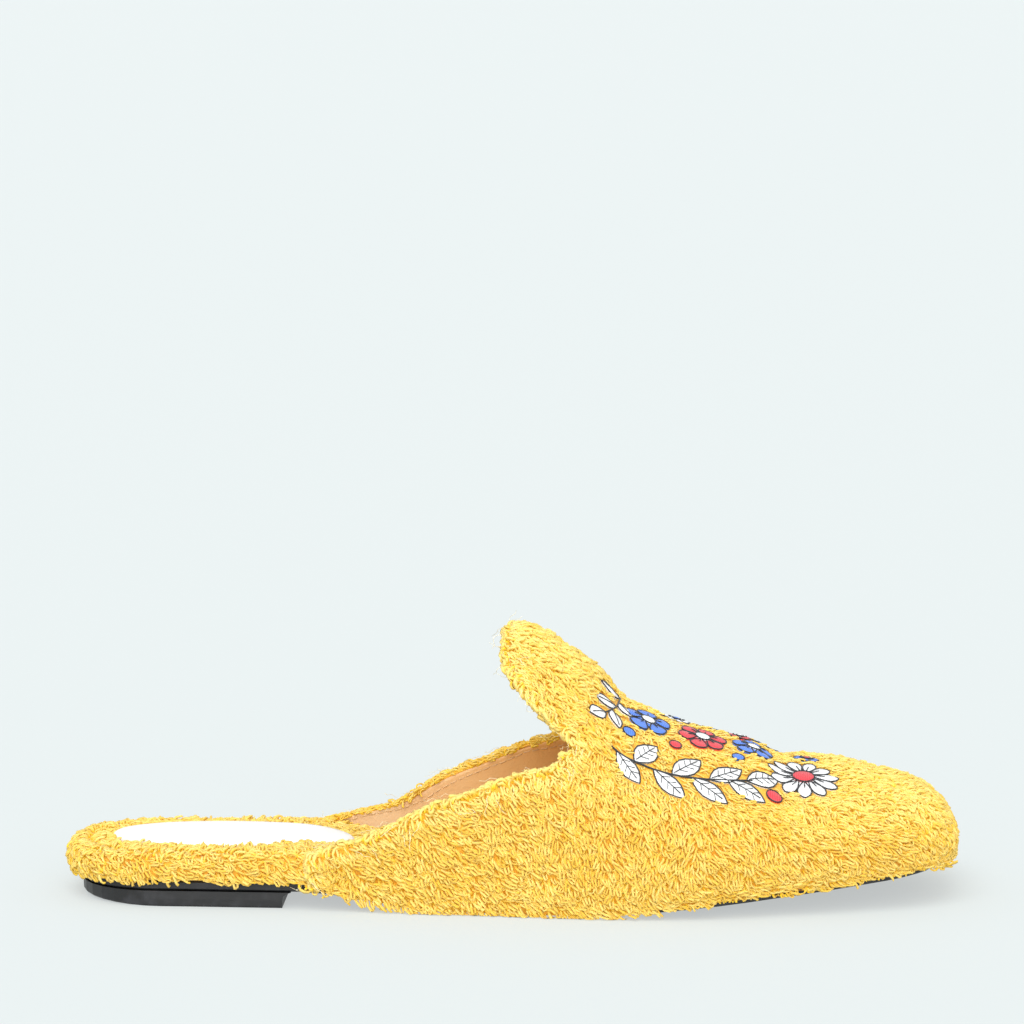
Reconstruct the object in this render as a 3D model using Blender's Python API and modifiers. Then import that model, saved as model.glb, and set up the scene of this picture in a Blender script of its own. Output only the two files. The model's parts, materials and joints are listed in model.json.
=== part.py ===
"""Flat backless slipper for the right foot, in looped terry cloth with a leather lining.

Run it with: blender --background --python part.py
Units are metres, +Z is up, the toe points along +X and the inner side of the foot is +Y.
The shoe is measured in last coordinates, x = 0 at the back of the last and y = 0 on its centre line,
and an empty then brings the middle of the finished shoe over the world's origin.
"""

import math
from collections import namedtuple

import bmesh
import bpy

# Layers of the upper, from the foot outwards
LINING = 0.0009
GROUND_CLOTH = 0.0008
PILE = 0.0025
PRESSED_PILE = 0.0005
WALL = LINING + GROUND_CLOTH + PILE
PRESSED_WALL = LINING + GROUND_CLOTH + PRESSED_PILE

# Last: its length, and its widths at the four places where a last is measured
LAST_LENGTH = 0.2582
HEEL_WIDTH = 0.0540
WAIST_WIDTH = 0.0560
BALL_WIDTH = 0.0805
TOE_WIDTH = 0.0600
TOE_FLAT = 0.0290
HEEL_ROUND = 0.0270
TOE_CORNER = 0.0175
INSTEP_RISE = 0.0670
TOE_RISE = 0.0195
TOE_ROLL = 0.0140
TOE_BULGE = 0.0022

# Bottom of the shoe
HEEL_LIFT = 0.0050
HEEL_BEVEL = 0.0013
HEEL_BEVEL_LENGTH = 0.0260
BREAST_AT = 0.0630
BREAST_FILLET = 0.0026
SOLE_THICKNESS = 0.0028
SOLE_MARGIN = -0.0008
PILE_HANG = 0.0007
SOLE_EDGE = 0.0005
TREAD_START = 0.1160
TREAD_END = 0.1520
TOE_SPRING = 0.0102
SPRING_POWER = 1.20

# Footbed, its terry edge and the leather heel pad let into it
FOOTBED_HEEL = 0.0095
FOOTBED_BALL = 0.0060
FOOTBED_TOE = 0.0045
SEAT_END = 0.0610
EDGE_ROLL = 0.0042
HEM_ROLL = 0.0026
PAD_LENGTH = 0.0755
PAD_WIDTH = 0.0400
PAD_THICKNESS = 0.0012
PAD_START = 0.0085
PAD_FRONT_NARROWING = 0.22

# Where the quarters start and where they meet the tongue
SEAM_AT = 0.0725
THROAT_AT = 0.1481
THROAT_HEIGHT = 0.0480

GAP = 0.0003
ROUND_POWER = 2.2
SIDE_BULGE = 0.20

HEEL_STEPS = 8
SIDE_STEPS = 26
CORNER_STEPS = 7
PAD_STEPS = 14
COLLAR_ROWS = 24
ROLL_ROWS = 8
QUARTER_COLUMNS = 12
TONGUE_COLUMNS = 18

LATERAL, MEDIAL = -1, 1

# Levels of the heel block: how high, how far in from the sole's edge, and how far out on the fillet
HeelLevel = namedtuple("HeelLevel", "rise inset forward")
HEEL_LEVELS = (
    HeelLevel(0.00, 1.0, 0.00),
    HeelLevel(0.12, 0.2, 0.00),
    HeelLevel(0.50, 0.0, 0.02),
    HeelLevel(0.75, 0.0, 0.15),
    HeelLevel(0.92, 0.0, 0.50),
    HeelLevel(1.00, 0.0, 1.00),
)

# Width of the last along its length, and how far its middle swings to the inner side
Plan = namedtuple("Plan", "along size share swing")
PLAN = (
    Plan(0.000, HEEL_WIDTH, 0.985, 0.000),
    Plan(0.100, HEEL_WIDTH, 1.000, 0.000),
    Plan(0.215, HEEL_WIDTH, 1.030, -0.010),
    Plan(0.310, WAIST_WIDTH, 1.000, -0.026),
    Plan(0.410, WAIST_WIDTH, 1.080, -0.036),
    Plan(0.505, BALL_WIDTH, 0.825, -0.034),
    Plan(0.600, BALL_WIDTH, 0.940, -0.022),
    Plan(0.677, BALL_WIDTH, 0.994, -0.008),
    Plan(0.716, BALL_WIDTH, 1.000, 0.003),
    Plan(0.754, BALL_WIDTH, 0.988, 0.014),
    Plan(0.800, BALL_WIDTH, 0.941, 0.026),
    Plan(0.870, TOE_WIDTH, 1.150, 0.038),
    Plan(0.930, TOE_WIDTH, 1.000, 0.043),
    Plan(1.000, TOE_WIDTH, 0.860, 0.046),
)

# Height of the last over its feather line, how full its sections are and where their top lies
Section = namedtuple("Section", "along size share fullness ridge")
SECTIONS = (
    Section(0.270, INSTEP_RISE, 1.180, 2.00, 0.020),
    Section(0.389, INSTEP_RISE, 1.190, 2.00, 0.025),
    Section(0.499, INSTEP_RISE, 1.100, 2.00, 0.030),
    Section(0.514, INSTEP_RISE, 1.105, 2.00, 0.031),
    Section(0.530, INSTEP_RISE, 1.085, 2.00, 0.032),
    Section(0.556, INSTEP_RISE, 1.020, 2.00, 0.033),
    Section(0.590, INSTEP_RISE, 0.932, 2.00, 0.034),
    Section(0.606, INSTEP_RISE, 0.870, 2.00, 0.035),
    Section(0.626, INSTEP_RISE, 0.790, 2.01, 0.036),
    Section(0.650, INSTEP_RISE, 0.730, 2.03, 0.036),
    Section(0.678, INSTEP_RISE, 0.673, 2.05, 0.036),
    Section(0.713, INSTEP_RISE, 0.618, 2.08, 0.035),
    Section(0.748, INSTEP_RISE, 0.565, 2.12, 0.034),
    Section(0.783, INSTEP_RISE, 0.510, 2.18, 0.033),
    Section(0.818, INSTEP_RISE, 0.447, 2.25, 0.032),
    Section(0.852, INSTEP_RISE, 0.402, 2.32, 0.031),
    Section(0.887, TOE_RISE, 1.280, 2.40, 0.030),
    Section(0.922, TOE_RISE, 1.120, 2.50, 0.028),
    Section(0.957, TOE_RISE, 0.980, 2.60, 0.026),
    Section(1.000, TOE_RISE, 0.940, 2.70, 0.025),
)

# The edge of the upper seen from the side. Heights are shares of the throat's height below it and
# of the instep's rise above it. Places are shares of the way from the seam to the throat, on the
# outer and on the inner side, where the quarter is cut lower.
Edge = namedtuple("Edge", "height outer inner")
QUARTER_EDGE = (
    Edge(0.000, 0.000, 0.000),
    Edge(0.358, 0.000, 0.000),
    Edge(0.370, 0.050, 0.110),
    Edge(0.411, 0.122, 0.185),
    Edge(0.470, 0.202, 0.270),
    Edge(0.558, 0.301, 0.357),
    Edge(0.635, 0.402, 0.450),
    Edge(0.704, 0.500, 0.560),
    Edge(0.751, 0.600, 0.650),
    Edge(0.808, 0.699, 0.745),
    Edge(0.858, 0.798, 0.830),
    Edge(0.897, 0.896, 0.910),
    Edge(0.942, 0.953, 0.957),
    Edge(1.000, 1.000, 1.000),
)
TONGUE_EDGE = (
    Edge(0.000, 1.000, 1.000),
    Edge(0.045, 0.983, 0.983),
    Edge(0.101, 0.935, 0.935),
    Edge(0.173, 0.851, 0.851),
    Edge(0.222, 0.797, 0.797),
    Edge(0.263, 0.771, 0.771),
    Edge(0.309, 0.750, 0.750),
    Edge(0.366, 0.738, 0.738),
    Edge(0.412, 0.736, 0.736),
    Edge(0.440, 0.742, 0.742),
    Edge(0.475, 0.757, 0.757),
)

# The bed where embroidery presses the pile down: its turn is in degrees from the top of the section
Bed = namedtuple("Bed", "along length spread slope")
BED = Bed(0.716, 0.310, 27.0, 0.42)


def clamp(value, low=0.0, high=1.0):
    return max(low, min(high, value))


def smooth(rows, place):
    """Value at a place on a smooth curve through (place, value) rows, with no overshoot at a peak."""
    if place <= rows[0][0]:
        return rows[0][1]
    if place >= rows[-1][0]:
        return rows[-1][1]
    slopes = [(b[1] - a[1]) / (b[0] - a[0]) for a, b in zip(rows, rows[1:])]
    inner = [0.0 if a * b <= 0 else 2 * a * b / (a + b) for a, b in zip(slopes, slopes[1:])]
    tangents = [slopes[0], *inner, slopes[-1]]
    for i, (a, b) in enumerate(zip(rows, rows[1:])):
        if place <= b[0]:
            span = b[0] - a[0]
            s = (place - a[0]) / span
            rise = s * s * (3 - 2 * s)
            start = s * (1 - s) ** 2 * span * tangents[i]
            end = s * s * (s - 1) * span * tangents[i + 1]
            return a[1] + (b[1] - a[1]) * rise + start + end
    return rows[-1][1]


def plan_column(place, value_of):
    return smooth([(row.along * LAST_LENGTH, value_of(row)) for row in PLAN], place)


def half_width(place, side):
    """Half width of the last on one side, before its ends are rounded."""
    width = plan_column(place, lambda row: row.size * row.share)
    swing = plan_column(place, lambda row: row.swing * BALL_WIDTH)
    return width / 2 + side * swing


def section_column(place, value_of):
    return smooth([(row.along * LAST_LENGTH, value_of(row)) for row in SECTIONS], place)


def outline(place, side, margin):
    """Point of the last's outline, set out by a margin, at a place along the last."""
    back = clamp(1 - place / HEEL_ROUND)
    front = clamp((place - LAST_LENGTH + TOE_CORNER) / TOE_CORNER)
    flat = TOE_FLAT / 2 + side * PLAN[-1].swing * BALL_WIDTH
    reach = half_width(place, side)
    if front > 0:
        reach = flat + (reach - flat) * math.sqrt(1 - front * front)
    reach = (reach + margin) * (1 - back**ROUND_POWER) ** (1 / ROUND_POWER)
    return place - margin * back + margin * front, side * reach


def sole_underside(place):
    """Height of the outsole's lower face: the heel, the shank, the tread and the toe spring."""
    shank = clamp((place - BREAST_AT - BREAST_FILLET) / (TREAD_START - BREAST_AT - BREAST_FILLET))
    spring = clamp((place - TREAD_END) / (LAST_LENGTH - TREAD_END), 0.0, 1.1)
    return HEEL_LIFT * (1 + math.cos(math.pi * shank)) / 2 + TOE_SPRING * spring**SPRING_POWER


def feather(place):
    """Height at which upper and footbed stand on the outsole."""
    return sole_underside(place) + SOLE_THICKNESS + GAP


def hem(place):
    """Height of the upper's lower edge, where its pile hangs over the side of the outsole."""
    return feather(place) - PILE_HANG


def side_bulge(up):
    """How far the section swells over its feather line, as a share: up is the sine of the turn."""
    across = math.sqrt(1 - up * up)
    return SIDE_BULGE * 2 * up * across**3


def footbed_top(place):
    depth = smooth(
        (
            (0.0, FOOTBED_HEEL),
            (SEAT_END, FOOTBED_HEEL),
            (TREAD_START, (FOOTBED_HEEL + FOOTBED_BALL) / 2),
            (TREAD_END, FOOTBED_BALL),
            (LAST_LENGTH, FOOTBED_TOE),
        ),
        place,
    )
    return feather(place) + depth


def stations(last):
    """Places along the last from its back, close together where its outline turns."""
    heel = [HEEL_ROUND * (1 - math.cos(math.pi / 2 * i / HEEL_STEPS)) for i in range(HEEL_STEPS)]
    end = LAST_LENGTH - TOE_CORNER
    side = [HEEL_ROUND + (end - HEEL_ROUND) * i / SIDE_STEPS for i in range(SIDE_STEPS)]
    toe = [end + TOE_CORNER * math.sin(math.pi / 2 * i / CORNER_STEPS) for i in range(CORNER_STEPS + 1)]
    least_step = (end - HEEL_ROUND) / SIDE_STEPS / 3
    return [place for place in heel + side + toe if place < last - least_step] + [last]


def new_material(name, colour, roughness):
    material = bpy.data.materials.new(name)
    material.use_nodes = True
    shader = material.node_tree.nodes["Principled BSDF"]
    shader.inputs["Base Color"].default_value = (*colour, 1.0)
    shader.inputs["Roughness"].default_value = roughness
    shader.inputs["Metallic"].default_value = 0.0
    return material


def add_object(name, mesh, material, collection):
    mesh.materials.append(material)
    obj = bpy.data.objects.new(name, mesh)
    collection.objects.link(obj)
    return obj


def add_cap(shape, layer):
    """Strips across a ring from the tip at its back. In front it ends in an edge or in a second tip."""
    pairs = [(layer[i], layer[-i]) for i in range(1, (len(layer) + 1) // 2)]
    shape.faces.new((layer[0], *pairs[0]))
    for (a, b), (c, d) in zip(pairs, pairs[1:]):
        shape.faces.new((a, c, d, b))
    if len(layer) % 2 == 0:
        shape.faces.new((pairs[-1][0], layer[len(layer) // 2], pairs[-1][1]))


def loft(name, rings):
    """Closed solid through rings that start at the back and run round over the outer side."""
    mesh = bpy.data.meshes.new(name)
    shape = bmesh.new()
    layers = [[shape.verts.new(point) for point in points] for points in rings]
    count = len(layers[0])
    for low, high in zip(layers, layers[1:]):
        for i in range(count):
            j = (i + 1) % count
            shape.faces.new((low[i], low[j], high[j], high[i]))
    add_cap(shape, layers[0])
    add_cap(shape, layers[-1])
    bmesh.ops.recalc_face_normals(shape, faces=shape.faces)
    shape.to_mesh(mesh)
    shape.free()
    return mesh


def ring(places, margin_at, height_at):
    """Ring on the last's outline: its margin and its height are functions of the place along it."""
    sides = []
    for side in (LATERAL, MEDIAL):
        points = []
        for place in places:
            x, y = outline(place, side, margin_at(place))
            points.append((x, y, height_at(place)))
        sides.append(points)
    lateral, medial = sides
    return lateral + medial[:0:-1]


def build_outsole(collection, material):
    places = stations(LAST_LENGTH)
    levels = (
        (SOLE_MARGIN - SOLE_EDGE, 0.0),
        (SOLE_MARGIN, SOLE_EDGE),
        (SOLE_MARGIN, SOLE_THICKNESS - SOLE_EDGE),
        (SOLE_MARGIN - SOLE_EDGE, SOLE_THICKNESS),
    )
    rings = [
        ring(places, lambda place, m=margin: m, lambda place, h=height: sole_underside(place) + h)
        for margin, height in levels
    ]
    return add_object("outsole", loft("outsole", rings), material, collection)


def heel_bottom(place):
    """The heel stands flat from its breast and lifts a little towards the back."""
    return HEEL_BEVEL * clamp(1 - place / HEEL_BEVEL_LENGTH) ** 1.5


def build_heel(collection, material):
    """Block under the back of the sole, hollowed at its breast by a fillet that runs out on the shank."""
    top = HEEL_LIFT - GAP
    rings = []
    for level in HEEL_LEVELS:
        places = stations(BREAST_AT)[:-1] + [BREAST_AT + level.forward * BREAST_FILLET]
        rings.append(
            ring(
                places,
                lambda place, m=SOLE_MARGIN - level.inset * SOLE_EDGE: m,
                lambda place, r=level.rise: heel_bottom(place) + r * (top - heel_bottom(place)),
            )
        )
    return add_object("heel", loft("heel", rings), material, collection)


def footbed_height(place, level):
    """Height of one level of the footbed, whose edge rolls get flatter where it lies in the upper."""
    base, top = feather(place), footbed_top(place)
    depth = level.depth
    if place > SEAM_AT:
        depth *= (top - base) / FOOTBED_HEEL / 2
    return top - depth if level.from_top else base + depth


def footbed_margin(place, level):
    """The footbed is as wide as the shoe behind the seam, and keeps clear of the upper's wall before it."""
    if place <= SEAM_AT:
        return WALL - level.inset
    rise = section_column(place, lambda row: row.size * row.share)
    up = clamp((footbed_height(place, level) - hem(place)) / (rise + PILE_HANG))
    corner = clamp((LAST_LENGTH - place) / TOE_CORNER)
    return half_width(place, MEDIAL) * side_bulge(up) * corner / 2 - 2 * GAP


def build_footbed(collection, material):
    """Board with its terry cover: as wide as the shoe at the heel, and inside the upper in front."""
    places = [place for place in stations(LAST_LENGTH) if abs(place - SEAM_AT) > 2 * GAP]
    places = sorted(places + [SEAM_AT, SEAM_AT + GAP])
    Level = namedtuple("Level", "from_top depth inset")
    levels = (
        Level(False, 0.0, HEM_ROLL),
        Level(False, 0.35 * HEM_ROLL, 0.3 * HEM_ROLL),
        Level(False, HEM_ROLL, 0.0),
        Level(True, EDGE_ROLL, 0.0),
        Level(True, 0.5 * EDGE_ROLL, 0.15 * EDGE_ROLL),
        Level(True, 0.15 * EDGE_ROLL, 0.5 * EDGE_ROLL),
        Level(True, 0.0, EDGE_ROLL),
    )
    rings = [
        ring(
            places,
            lambda place, lv=level: footbed_margin(place, lv),
            lambda place, lv=level: footbed_height(place, lv),
        )
        for level in levels
    ]
    return add_object("footbed", loft("footbed", rings), material, collection)


def pad_ring(margin, height_over_footbed):
    """Egg-shaped ring of the heel pad, broad at the back and narrow in front."""
    middle = PAD_START + PAD_LENGTH / 2
    sides = []
    for side in (LATERAL, MEDIAL):
        points = []
        for i in range(PAD_STEPS + 1):
            turn = math.pi * i / PAD_STEPS
            x = middle - (PAD_LENGTH / 2 + margin) * math.cos(turn)
            taper = 1 - PAD_FRONT_NARROWING * (1 - math.cos(turn)) / 2
            y = side * (PAD_WIDTH / 2 + margin) * math.sin(turn) * taper
            points.append((x, y, footbed_top(x) + height_over_footbed))
        sides.append(points)
    lateral, medial = sides
    return lateral + medial[-2:0:-1]


def build_pad(collection, cutters, footbed, material):
    """Leather pad, and the pocket of the same outline that it lies in, flush with the pile."""
    edge = PAD_THICKNESS / 3
    pad = loft("heel_pad", (pad_ring(0.0, -PAD_THICKNESS), pad_ring(0.0, -edge), pad_ring(-edge, 0.0)))
    floor = PAD_THICKNESS + GAP
    pocket = loft("pad_pocket", (pad_ring(GAP, -floor), pad_ring(GAP, floor)))
    cutter = add_object("pad_pocket", pocket, material, cutters)
    cutter.hide_render = True
    cutter.display_type = "WIRE"
    cut = footbed.modifiers.new("pad pocket", "BOOLEAN")
    cut.operation = "DIFFERENCE"
    cut.solver = "EXACT"
    cut.object = cutter
    return add_object("heel_pad", pad, material, collection), cutter


def last_point(place, turn):
    """Point on the last: turn runs from 0 at the outer feather line over the top to pi at the inner one."""
    rise = section_column(place, lambda row: row.size * row.share)
    fullness = section_column(place, lambda row: row.fullness)
    ridge = section_column(place, lambda row: row.ridge * BALL_WIDTH)
    roll = clamp((place - LAST_LENGTH + TOE_ROLL) / TOE_ROLL)
    stand = (1 - roll**ROUND_POWER) ** (1 / ROUND_POWER)
    side = LATERAL if turn < math.pi / 2 else MEDIAL
    across, up = abs(math.cos(turn)), clamp(math.sin(turn))
    _, reach = outline(place, side, 0.0)
    height = stand * up ** (2 / fullness)
    y = reach * across ** (2 / fullness) * (1 + stand * side_bulge(up)) + ridge * stand * up * up
    x = place + 4 * TOE_BULGE * roll * roll * height * (1 - height)
    return x, y, hem(place) + (rise + feather(place) - hem(place)) * height


def edge_place(height, side):
    """Where the upper ends on one side at a height over the floor."""
    if height <= THROAT_HEIGHT:
        rows = [(e.height * THROAT_HEIGHT, e.outer, e.inner) for e in QUARTER_EDGE]
    else:
        rows = [(THROAT_HEIGHT + e.height * INSTEP_RISE, e.outer, e.inner) for e in TONGUE_EDGE]
    share = smooth([(row[0], row[1] if side == LATERAL else row[2]) for row in rows], height)
    start = SEAM_AT + 2 * GAP
    return start + share * (THROAT_AT - start)


def edge_on_column(turn):
    """Place along the last at which one column of the upper reaches its edge."""
    side = LATERAL if turn < math.pi / 2 else MEDIAL
    step = LAST_LENGTH / 200
    place = LAST_LENGTH - TOE_ROLL
    while place > SEAM_AT and place > edge_place(last_point(place, turn)[2], side):
        place -= step
    low, high = place, place + step
    for _ in range(20):
        middle = (low + high) / 2
        if middle > edge_place(last_point(middle, turn)[2], side):
            high = middle
        else:
            low = middle
    return high


def throat_turn():
    """Turn of the column that runs to the corner between quarter and tongue."""
    low, high = 0.0, math.pi / 2
    for _ in range(40):
        middle = (low + high) / 2
        if last_point(THROAT_AT, middle)[2] < THROAT_HEIGHT:
            low = middle
        else:
            high = middle
    return low


def pile_weight(place, turn):
    """One where the pile stands, falling to nought inside the bed of the embroidery."""
    along = (place - BED.along * LAST_LENGTH) / (BED.length * BALL_WIDTH)
    around = (math.degrees(turn) - 90) / BED.spread
    rise = clamp((math.hypot(along, around) - 1) / BED.slope + 0.5)
    return rise * rise * (3 - 2 * rise)


def upper_grid():
    """Rows of (point, pile weight) on the last, from the collar's edge to the front feather line."""
    corner = throat_turn()
    quarter = [corner * i / QUARTER_COLUMNS for i in range(QUARTER_COLUMNS)]
    tongue = [corner + (math.pi - 2 * corner) * i / TONGUE_COLUMNS for i in range(TONGUE_COLUMNS + 1)]
    turns = quarter + tongue + [math.pi - turn for turn in reversed(quarter)]
    roll_start = LAST_LENGTH - TOE_ROLL
    roll = [roll_start + TOE_ROLL * math.sin(math.pi / 2 * i / ROLL_ROWS) for i in range(ROLL_ROWS + 1)]
    columns = []
    for turn in turns:
        start = edge_on_column(turn)
        places = [start + (roll_start - start) * i / COLLAR_ROWS for i in range(COLLAR_ROWS)] + roll
        columns.append([(last_point(place, turn), pile_weight(place, turn)) for place in places])
    return columns


def build_upper(collection, material):
    """Open sheet on the last, thickened outwards by the wall and less where embroidery presses it."""
    columns = upper_grid()
    mesh = bpy.data.meshes.new("upper")
    shape = bmesh.new()
    grid = [[shape.verts.new(point) for point, _ in column] for column in columns]
    for left, right in zip(grid, grid[1:]):
        for i in range(len(left) - 1):
            shape.faces.new((left[i], left[i + 1], right[i + 1], right[i]))
    bmesh.ops.recalc_face_normals(shape, faces=shape.faces)
    middle = min(shape.faces, key=lambda face: -face.calc_center_median().z)
    if middle.normal.z < 0:
        bmesh.ops.reverse_faces(shape, faces=shape.faces)
    shape.to_mesh(mesh)
    shape.free()
    upper = add_object("upper", mesh, material, collection)
    pile = upper.vertex_groups.new(name="pile")
    weights = [weight for column in columns for _, weight in column]
    for index, weight in enumerate(weights):
        pile.add([index], weight, "REPLACE")
    wall = upper.modifiers.new("wall", "SOLIDIFY")
    wall.thickness = WALL
    wall.offset = 1.0
    wall.use_even_offset = True
    wall.use_quality_normals = True
    wall.vertex_group = "pile"
    wall.thickness_vertex_group = PRESSED_WALL / WALL
    return upper


def middle_of(objects, axis):
    """Middle of the finished objects' common box along one axis."""
    depsgraph = bpy.context.evaluated_depsgraph_get()
    corners = [corner[axis] for obj in objects for corner in obj.evaluated_get(depsgraph).bound_box]
    return (min(corners) + max(corners)) / 2


def finish(obj, parent, sharp_angle=35.0):
    obj.parent = parent
    obj.data.shade_smooth()
    obj.data.set_sharp_from_angle(angle=math.radians(sharp_angle))


def main():
    for obj in list(bpy.data.objects):
        bpy.data.objects.remove(obj, do_unlink=True)
    slipper = bpy.data.collections.new("slipper")
    cutters = bpy.data.collections.new("cutters")
    for collection in (slipper, cutters):
        bpy.context.scene.collection.children.link(collection)

    terry = new_material("terry", (0.90, 0.56, 0.06), 0.95)
    black = new_material("black_rubber", (0.035, 0.035, 0.035), 0.55)
    white = new_material("white_leather", (0.93, 0.92, 0.90), 0.50)

    footbed = build_footbed(slipper, terry)
    heel_pad, pocket = build_pad(slipper, cutters, footbed, white)
    upper = build_upper(slipper, terry)
    solids = (build_outsole(slipper, black), build_heel(slipper, black), footbed, heel_pad, upper)

    frame = bpy.data.objects.new("slipper_frame", None)
    slipper.objects.link(frame)
    frame.location = (-middle_of(solids, 0), -middle_of(solids, 1), 0.0)
    for obj in (*solids, pocket):
        finish(obj, frame)


main()
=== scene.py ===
"""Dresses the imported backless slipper: terry pile, leather lining and pad, rubber sole and embroidery.

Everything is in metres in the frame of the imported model. The upper and the footbed are laid out again
on the shoemaker's last, in last coordinates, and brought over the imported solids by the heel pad's box.
"""

import json
import logging
import math
from collections.abc import Callable, Iterable, Sequence
from dataclasses import dataclass, field
from enum import Enum
from typing import Any, NamedTuple

import bmesh
import bpy
import numpy as np
from mathutils import Matrix, Quaternion, Vector
from mathutils.kdtree import KDTree

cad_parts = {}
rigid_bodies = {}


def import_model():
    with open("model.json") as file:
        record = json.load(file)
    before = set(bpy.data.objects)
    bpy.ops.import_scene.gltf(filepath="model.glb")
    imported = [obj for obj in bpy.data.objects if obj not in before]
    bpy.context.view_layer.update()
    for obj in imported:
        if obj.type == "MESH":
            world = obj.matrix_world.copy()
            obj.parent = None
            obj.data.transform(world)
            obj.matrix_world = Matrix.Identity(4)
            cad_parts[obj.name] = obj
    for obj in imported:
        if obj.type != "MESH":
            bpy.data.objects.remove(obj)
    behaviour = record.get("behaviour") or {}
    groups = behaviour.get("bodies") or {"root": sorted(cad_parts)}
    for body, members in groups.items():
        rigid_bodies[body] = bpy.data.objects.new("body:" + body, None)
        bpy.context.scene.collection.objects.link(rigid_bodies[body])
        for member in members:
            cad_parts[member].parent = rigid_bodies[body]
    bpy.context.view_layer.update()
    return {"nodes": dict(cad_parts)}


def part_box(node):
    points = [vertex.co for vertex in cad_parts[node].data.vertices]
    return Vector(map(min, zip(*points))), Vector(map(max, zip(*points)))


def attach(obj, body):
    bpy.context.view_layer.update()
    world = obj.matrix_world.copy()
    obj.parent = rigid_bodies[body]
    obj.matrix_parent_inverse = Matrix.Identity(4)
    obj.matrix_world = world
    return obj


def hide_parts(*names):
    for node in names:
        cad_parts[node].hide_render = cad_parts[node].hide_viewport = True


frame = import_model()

LOG = logging.getLogger("slipper")
MM = 0.001
# Scale at which a wave texture repeats once in a unit of its vector
ONE_WAVE = 6.2832 / 20.0

# Share of the last's length, width in metres, swing to the inner side as a share of the ball's width
PLAN = np.array([
    (0.000, 0.05319, 0.000), (0.100, 0.05400, 0.000), (0.215, 0.05562, -0.010), (0.310, 0.05600, -0.026),
    (0.410, 0.06048, -0.036), (0.505, 0.06641, -0.034), (0.600, 0.07567, -0.022), (0.677, 0.08002, -0.008),
    (0.716, 0.08050, 0.003), (0.754, 0.07953, 0.014), (0.800, 0.07575, 0.026), (0.870, 0.06900, 0.038),
    (0.930, 0.06000, 0.043), (1.000, 0.05160, 0.046),
]).T

# Share of the length, rise over the feather line, fullness of the section, ridge as a share of the ball
SECTIONS = np.array([
    (0.270, 0.07906, 2.00, 0.020), (0.389, 0.07973, 2.00, 0.025), (0.499, 0.07370, 2.00, 0.030),
    (0.514, 0.07404, 2.00, 0.031), (0.530, 0.07270, 2.00, 0.032), (0.556, 0.06834, 2.00, 0.033),
    (0.590, 0.06244, 2.00, 0.034), (0.606, 0.05829, 2.00, 0.035), (0.626, 0.05293, 2.01, 0.036),
    (0.650, 0.04891, 2.03, 0.036), (0.678, 0.04509, 2.05, 0.036), (0.713, 0.04141, 2.08, 0.035),
    (0.748, 0.03786, 2.12, 0.034), (0.783, 0.03417, 2.18, 0.033), (0.818, 0.02995, 2.25, 0.032),
    (0.852, 0.02693, 2.32, 0.031), (0.887, 0.02496, 2.40, 0.030), (0.922, 0.02184, 2.50, 0.028),
    (0.957, 0.01911, 2.60, 0.026), (1.000, 0.01833, 2.70, 0.025),
]).T

# Place in metres, depth of the footbed over the feather line
FOOTBED_DEPTH = np.array([
    (0.0, 0.0095), (0.061, 0.0095), (0.116, 0.00775), (0.152, 0.006), (0.2582, 0.0045),
]).T

# Height over the floor, and how far the edge has come from the seam to the throat, outer side and inner
COLLAR = np.array([
    (0.00000, 0.000, 0.000), (0.01718, 0.000, 0.000), (0.01776, 0.050, 0.110), (0.01973, 0.122, 0.185),
    (0.02256, 0.202, 0.270), (0.02678, 0.301, 0.357), (0.03048, 0.402, 0.450), (0.03379, 0.500, 0.560),
    (0.03605, 0.600, 0.650), (0.03878, 0.699, 0.745), (0.04118, 0.798, 0.830), (0.04306, 0.896, 0.910),
    (0.04522, 0.953, 0.957), (0.04800, 1.000, 1.000),
]).T
TONGUE = np.array([
    (0.04800, 1.000), (0.05101, 0.983), (0.05477, 0.935), (0.05959, 0.851), (0.06287, 0.797),
    (0.06562, 0.771), (0.06870, 0.750), (0.07252, 0.738), (0.07560, 0.736), (0.07748, 0.742),
    (0.07983, 0.757),
]).T

# Where the worn-soft cloth gives: the base of the tongue, the vamp's bend and the corners of the throat,
# as two ends in mm along and degrees round, half width and depth in mm
CREASES = (
    (152.0, 60.0, 163.0, 84.0, 5.0, -1.0),
    (152.0, 122.0, 162.0, 98.0, 5.0, -0.9),
    (146.0, 44.0, 158.0, 40.0, 4.0, -0.7),
    (212.0, 52.0, 207.0, 118.0, 4.5, -0.8),
    (202.0, 60.0, 200.0, 112.0, 5.0, 0.6),
    (221.0, 48.0, 219.0, 100.0, 4.0, 0.4),
    (120.0, 16.0, 150.0, 10.0, 6.0, -0.6),
    (118.0, 160.0, 150.0, 168.0, 6.0, -0.6),
)
CREASE_MM_ROUND = 40.0


class SmoothCurve:
    """Smooth curve through values at rising places, with no overshoot at a peak, held at its ends."""

    def __init__(self, place: Any, value: Any) -> None:
        """Keeps the values and works out their tangents."""
        self.place, self.value = np.array(place, float), np.array(value, float)
        slopes = np.diff(self.value) / np.diff(self.place)
        product, total = slopes[:-1] * slopes[1:], slopes[:-1] + slopes[1:]
        inner = np.where(product <= 0, 0.0, 2 * product / np.where(product <= 0, 1.0, total))
        self.tangent = np.concatenate([slopes[:1], inner, slopes[-1:]])

    def __call__(self, place: Any) -> np.ndarray:
        """Values at one place or at an array of places."""
        at = np.clip(np.asarray(place, float), self.place[0], self.place[-1])
        i = np.clip(np.searchsorted(self.place, at) - 1, 0, len(self.place) - 2)
        span = self.place[i + 1] - self.place[i]
        s = (at - self.place[i]) / span
        rise = (self.value[i + 1] - self.value[i]) * s * s * (3 - 2 * s)
        bend = s * (1 - s) ** 2 * self.tangent[i] - s * s * (1 - s) * self.tangent[i + 1]
        return self.value[i] + rise + span * bend


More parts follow.
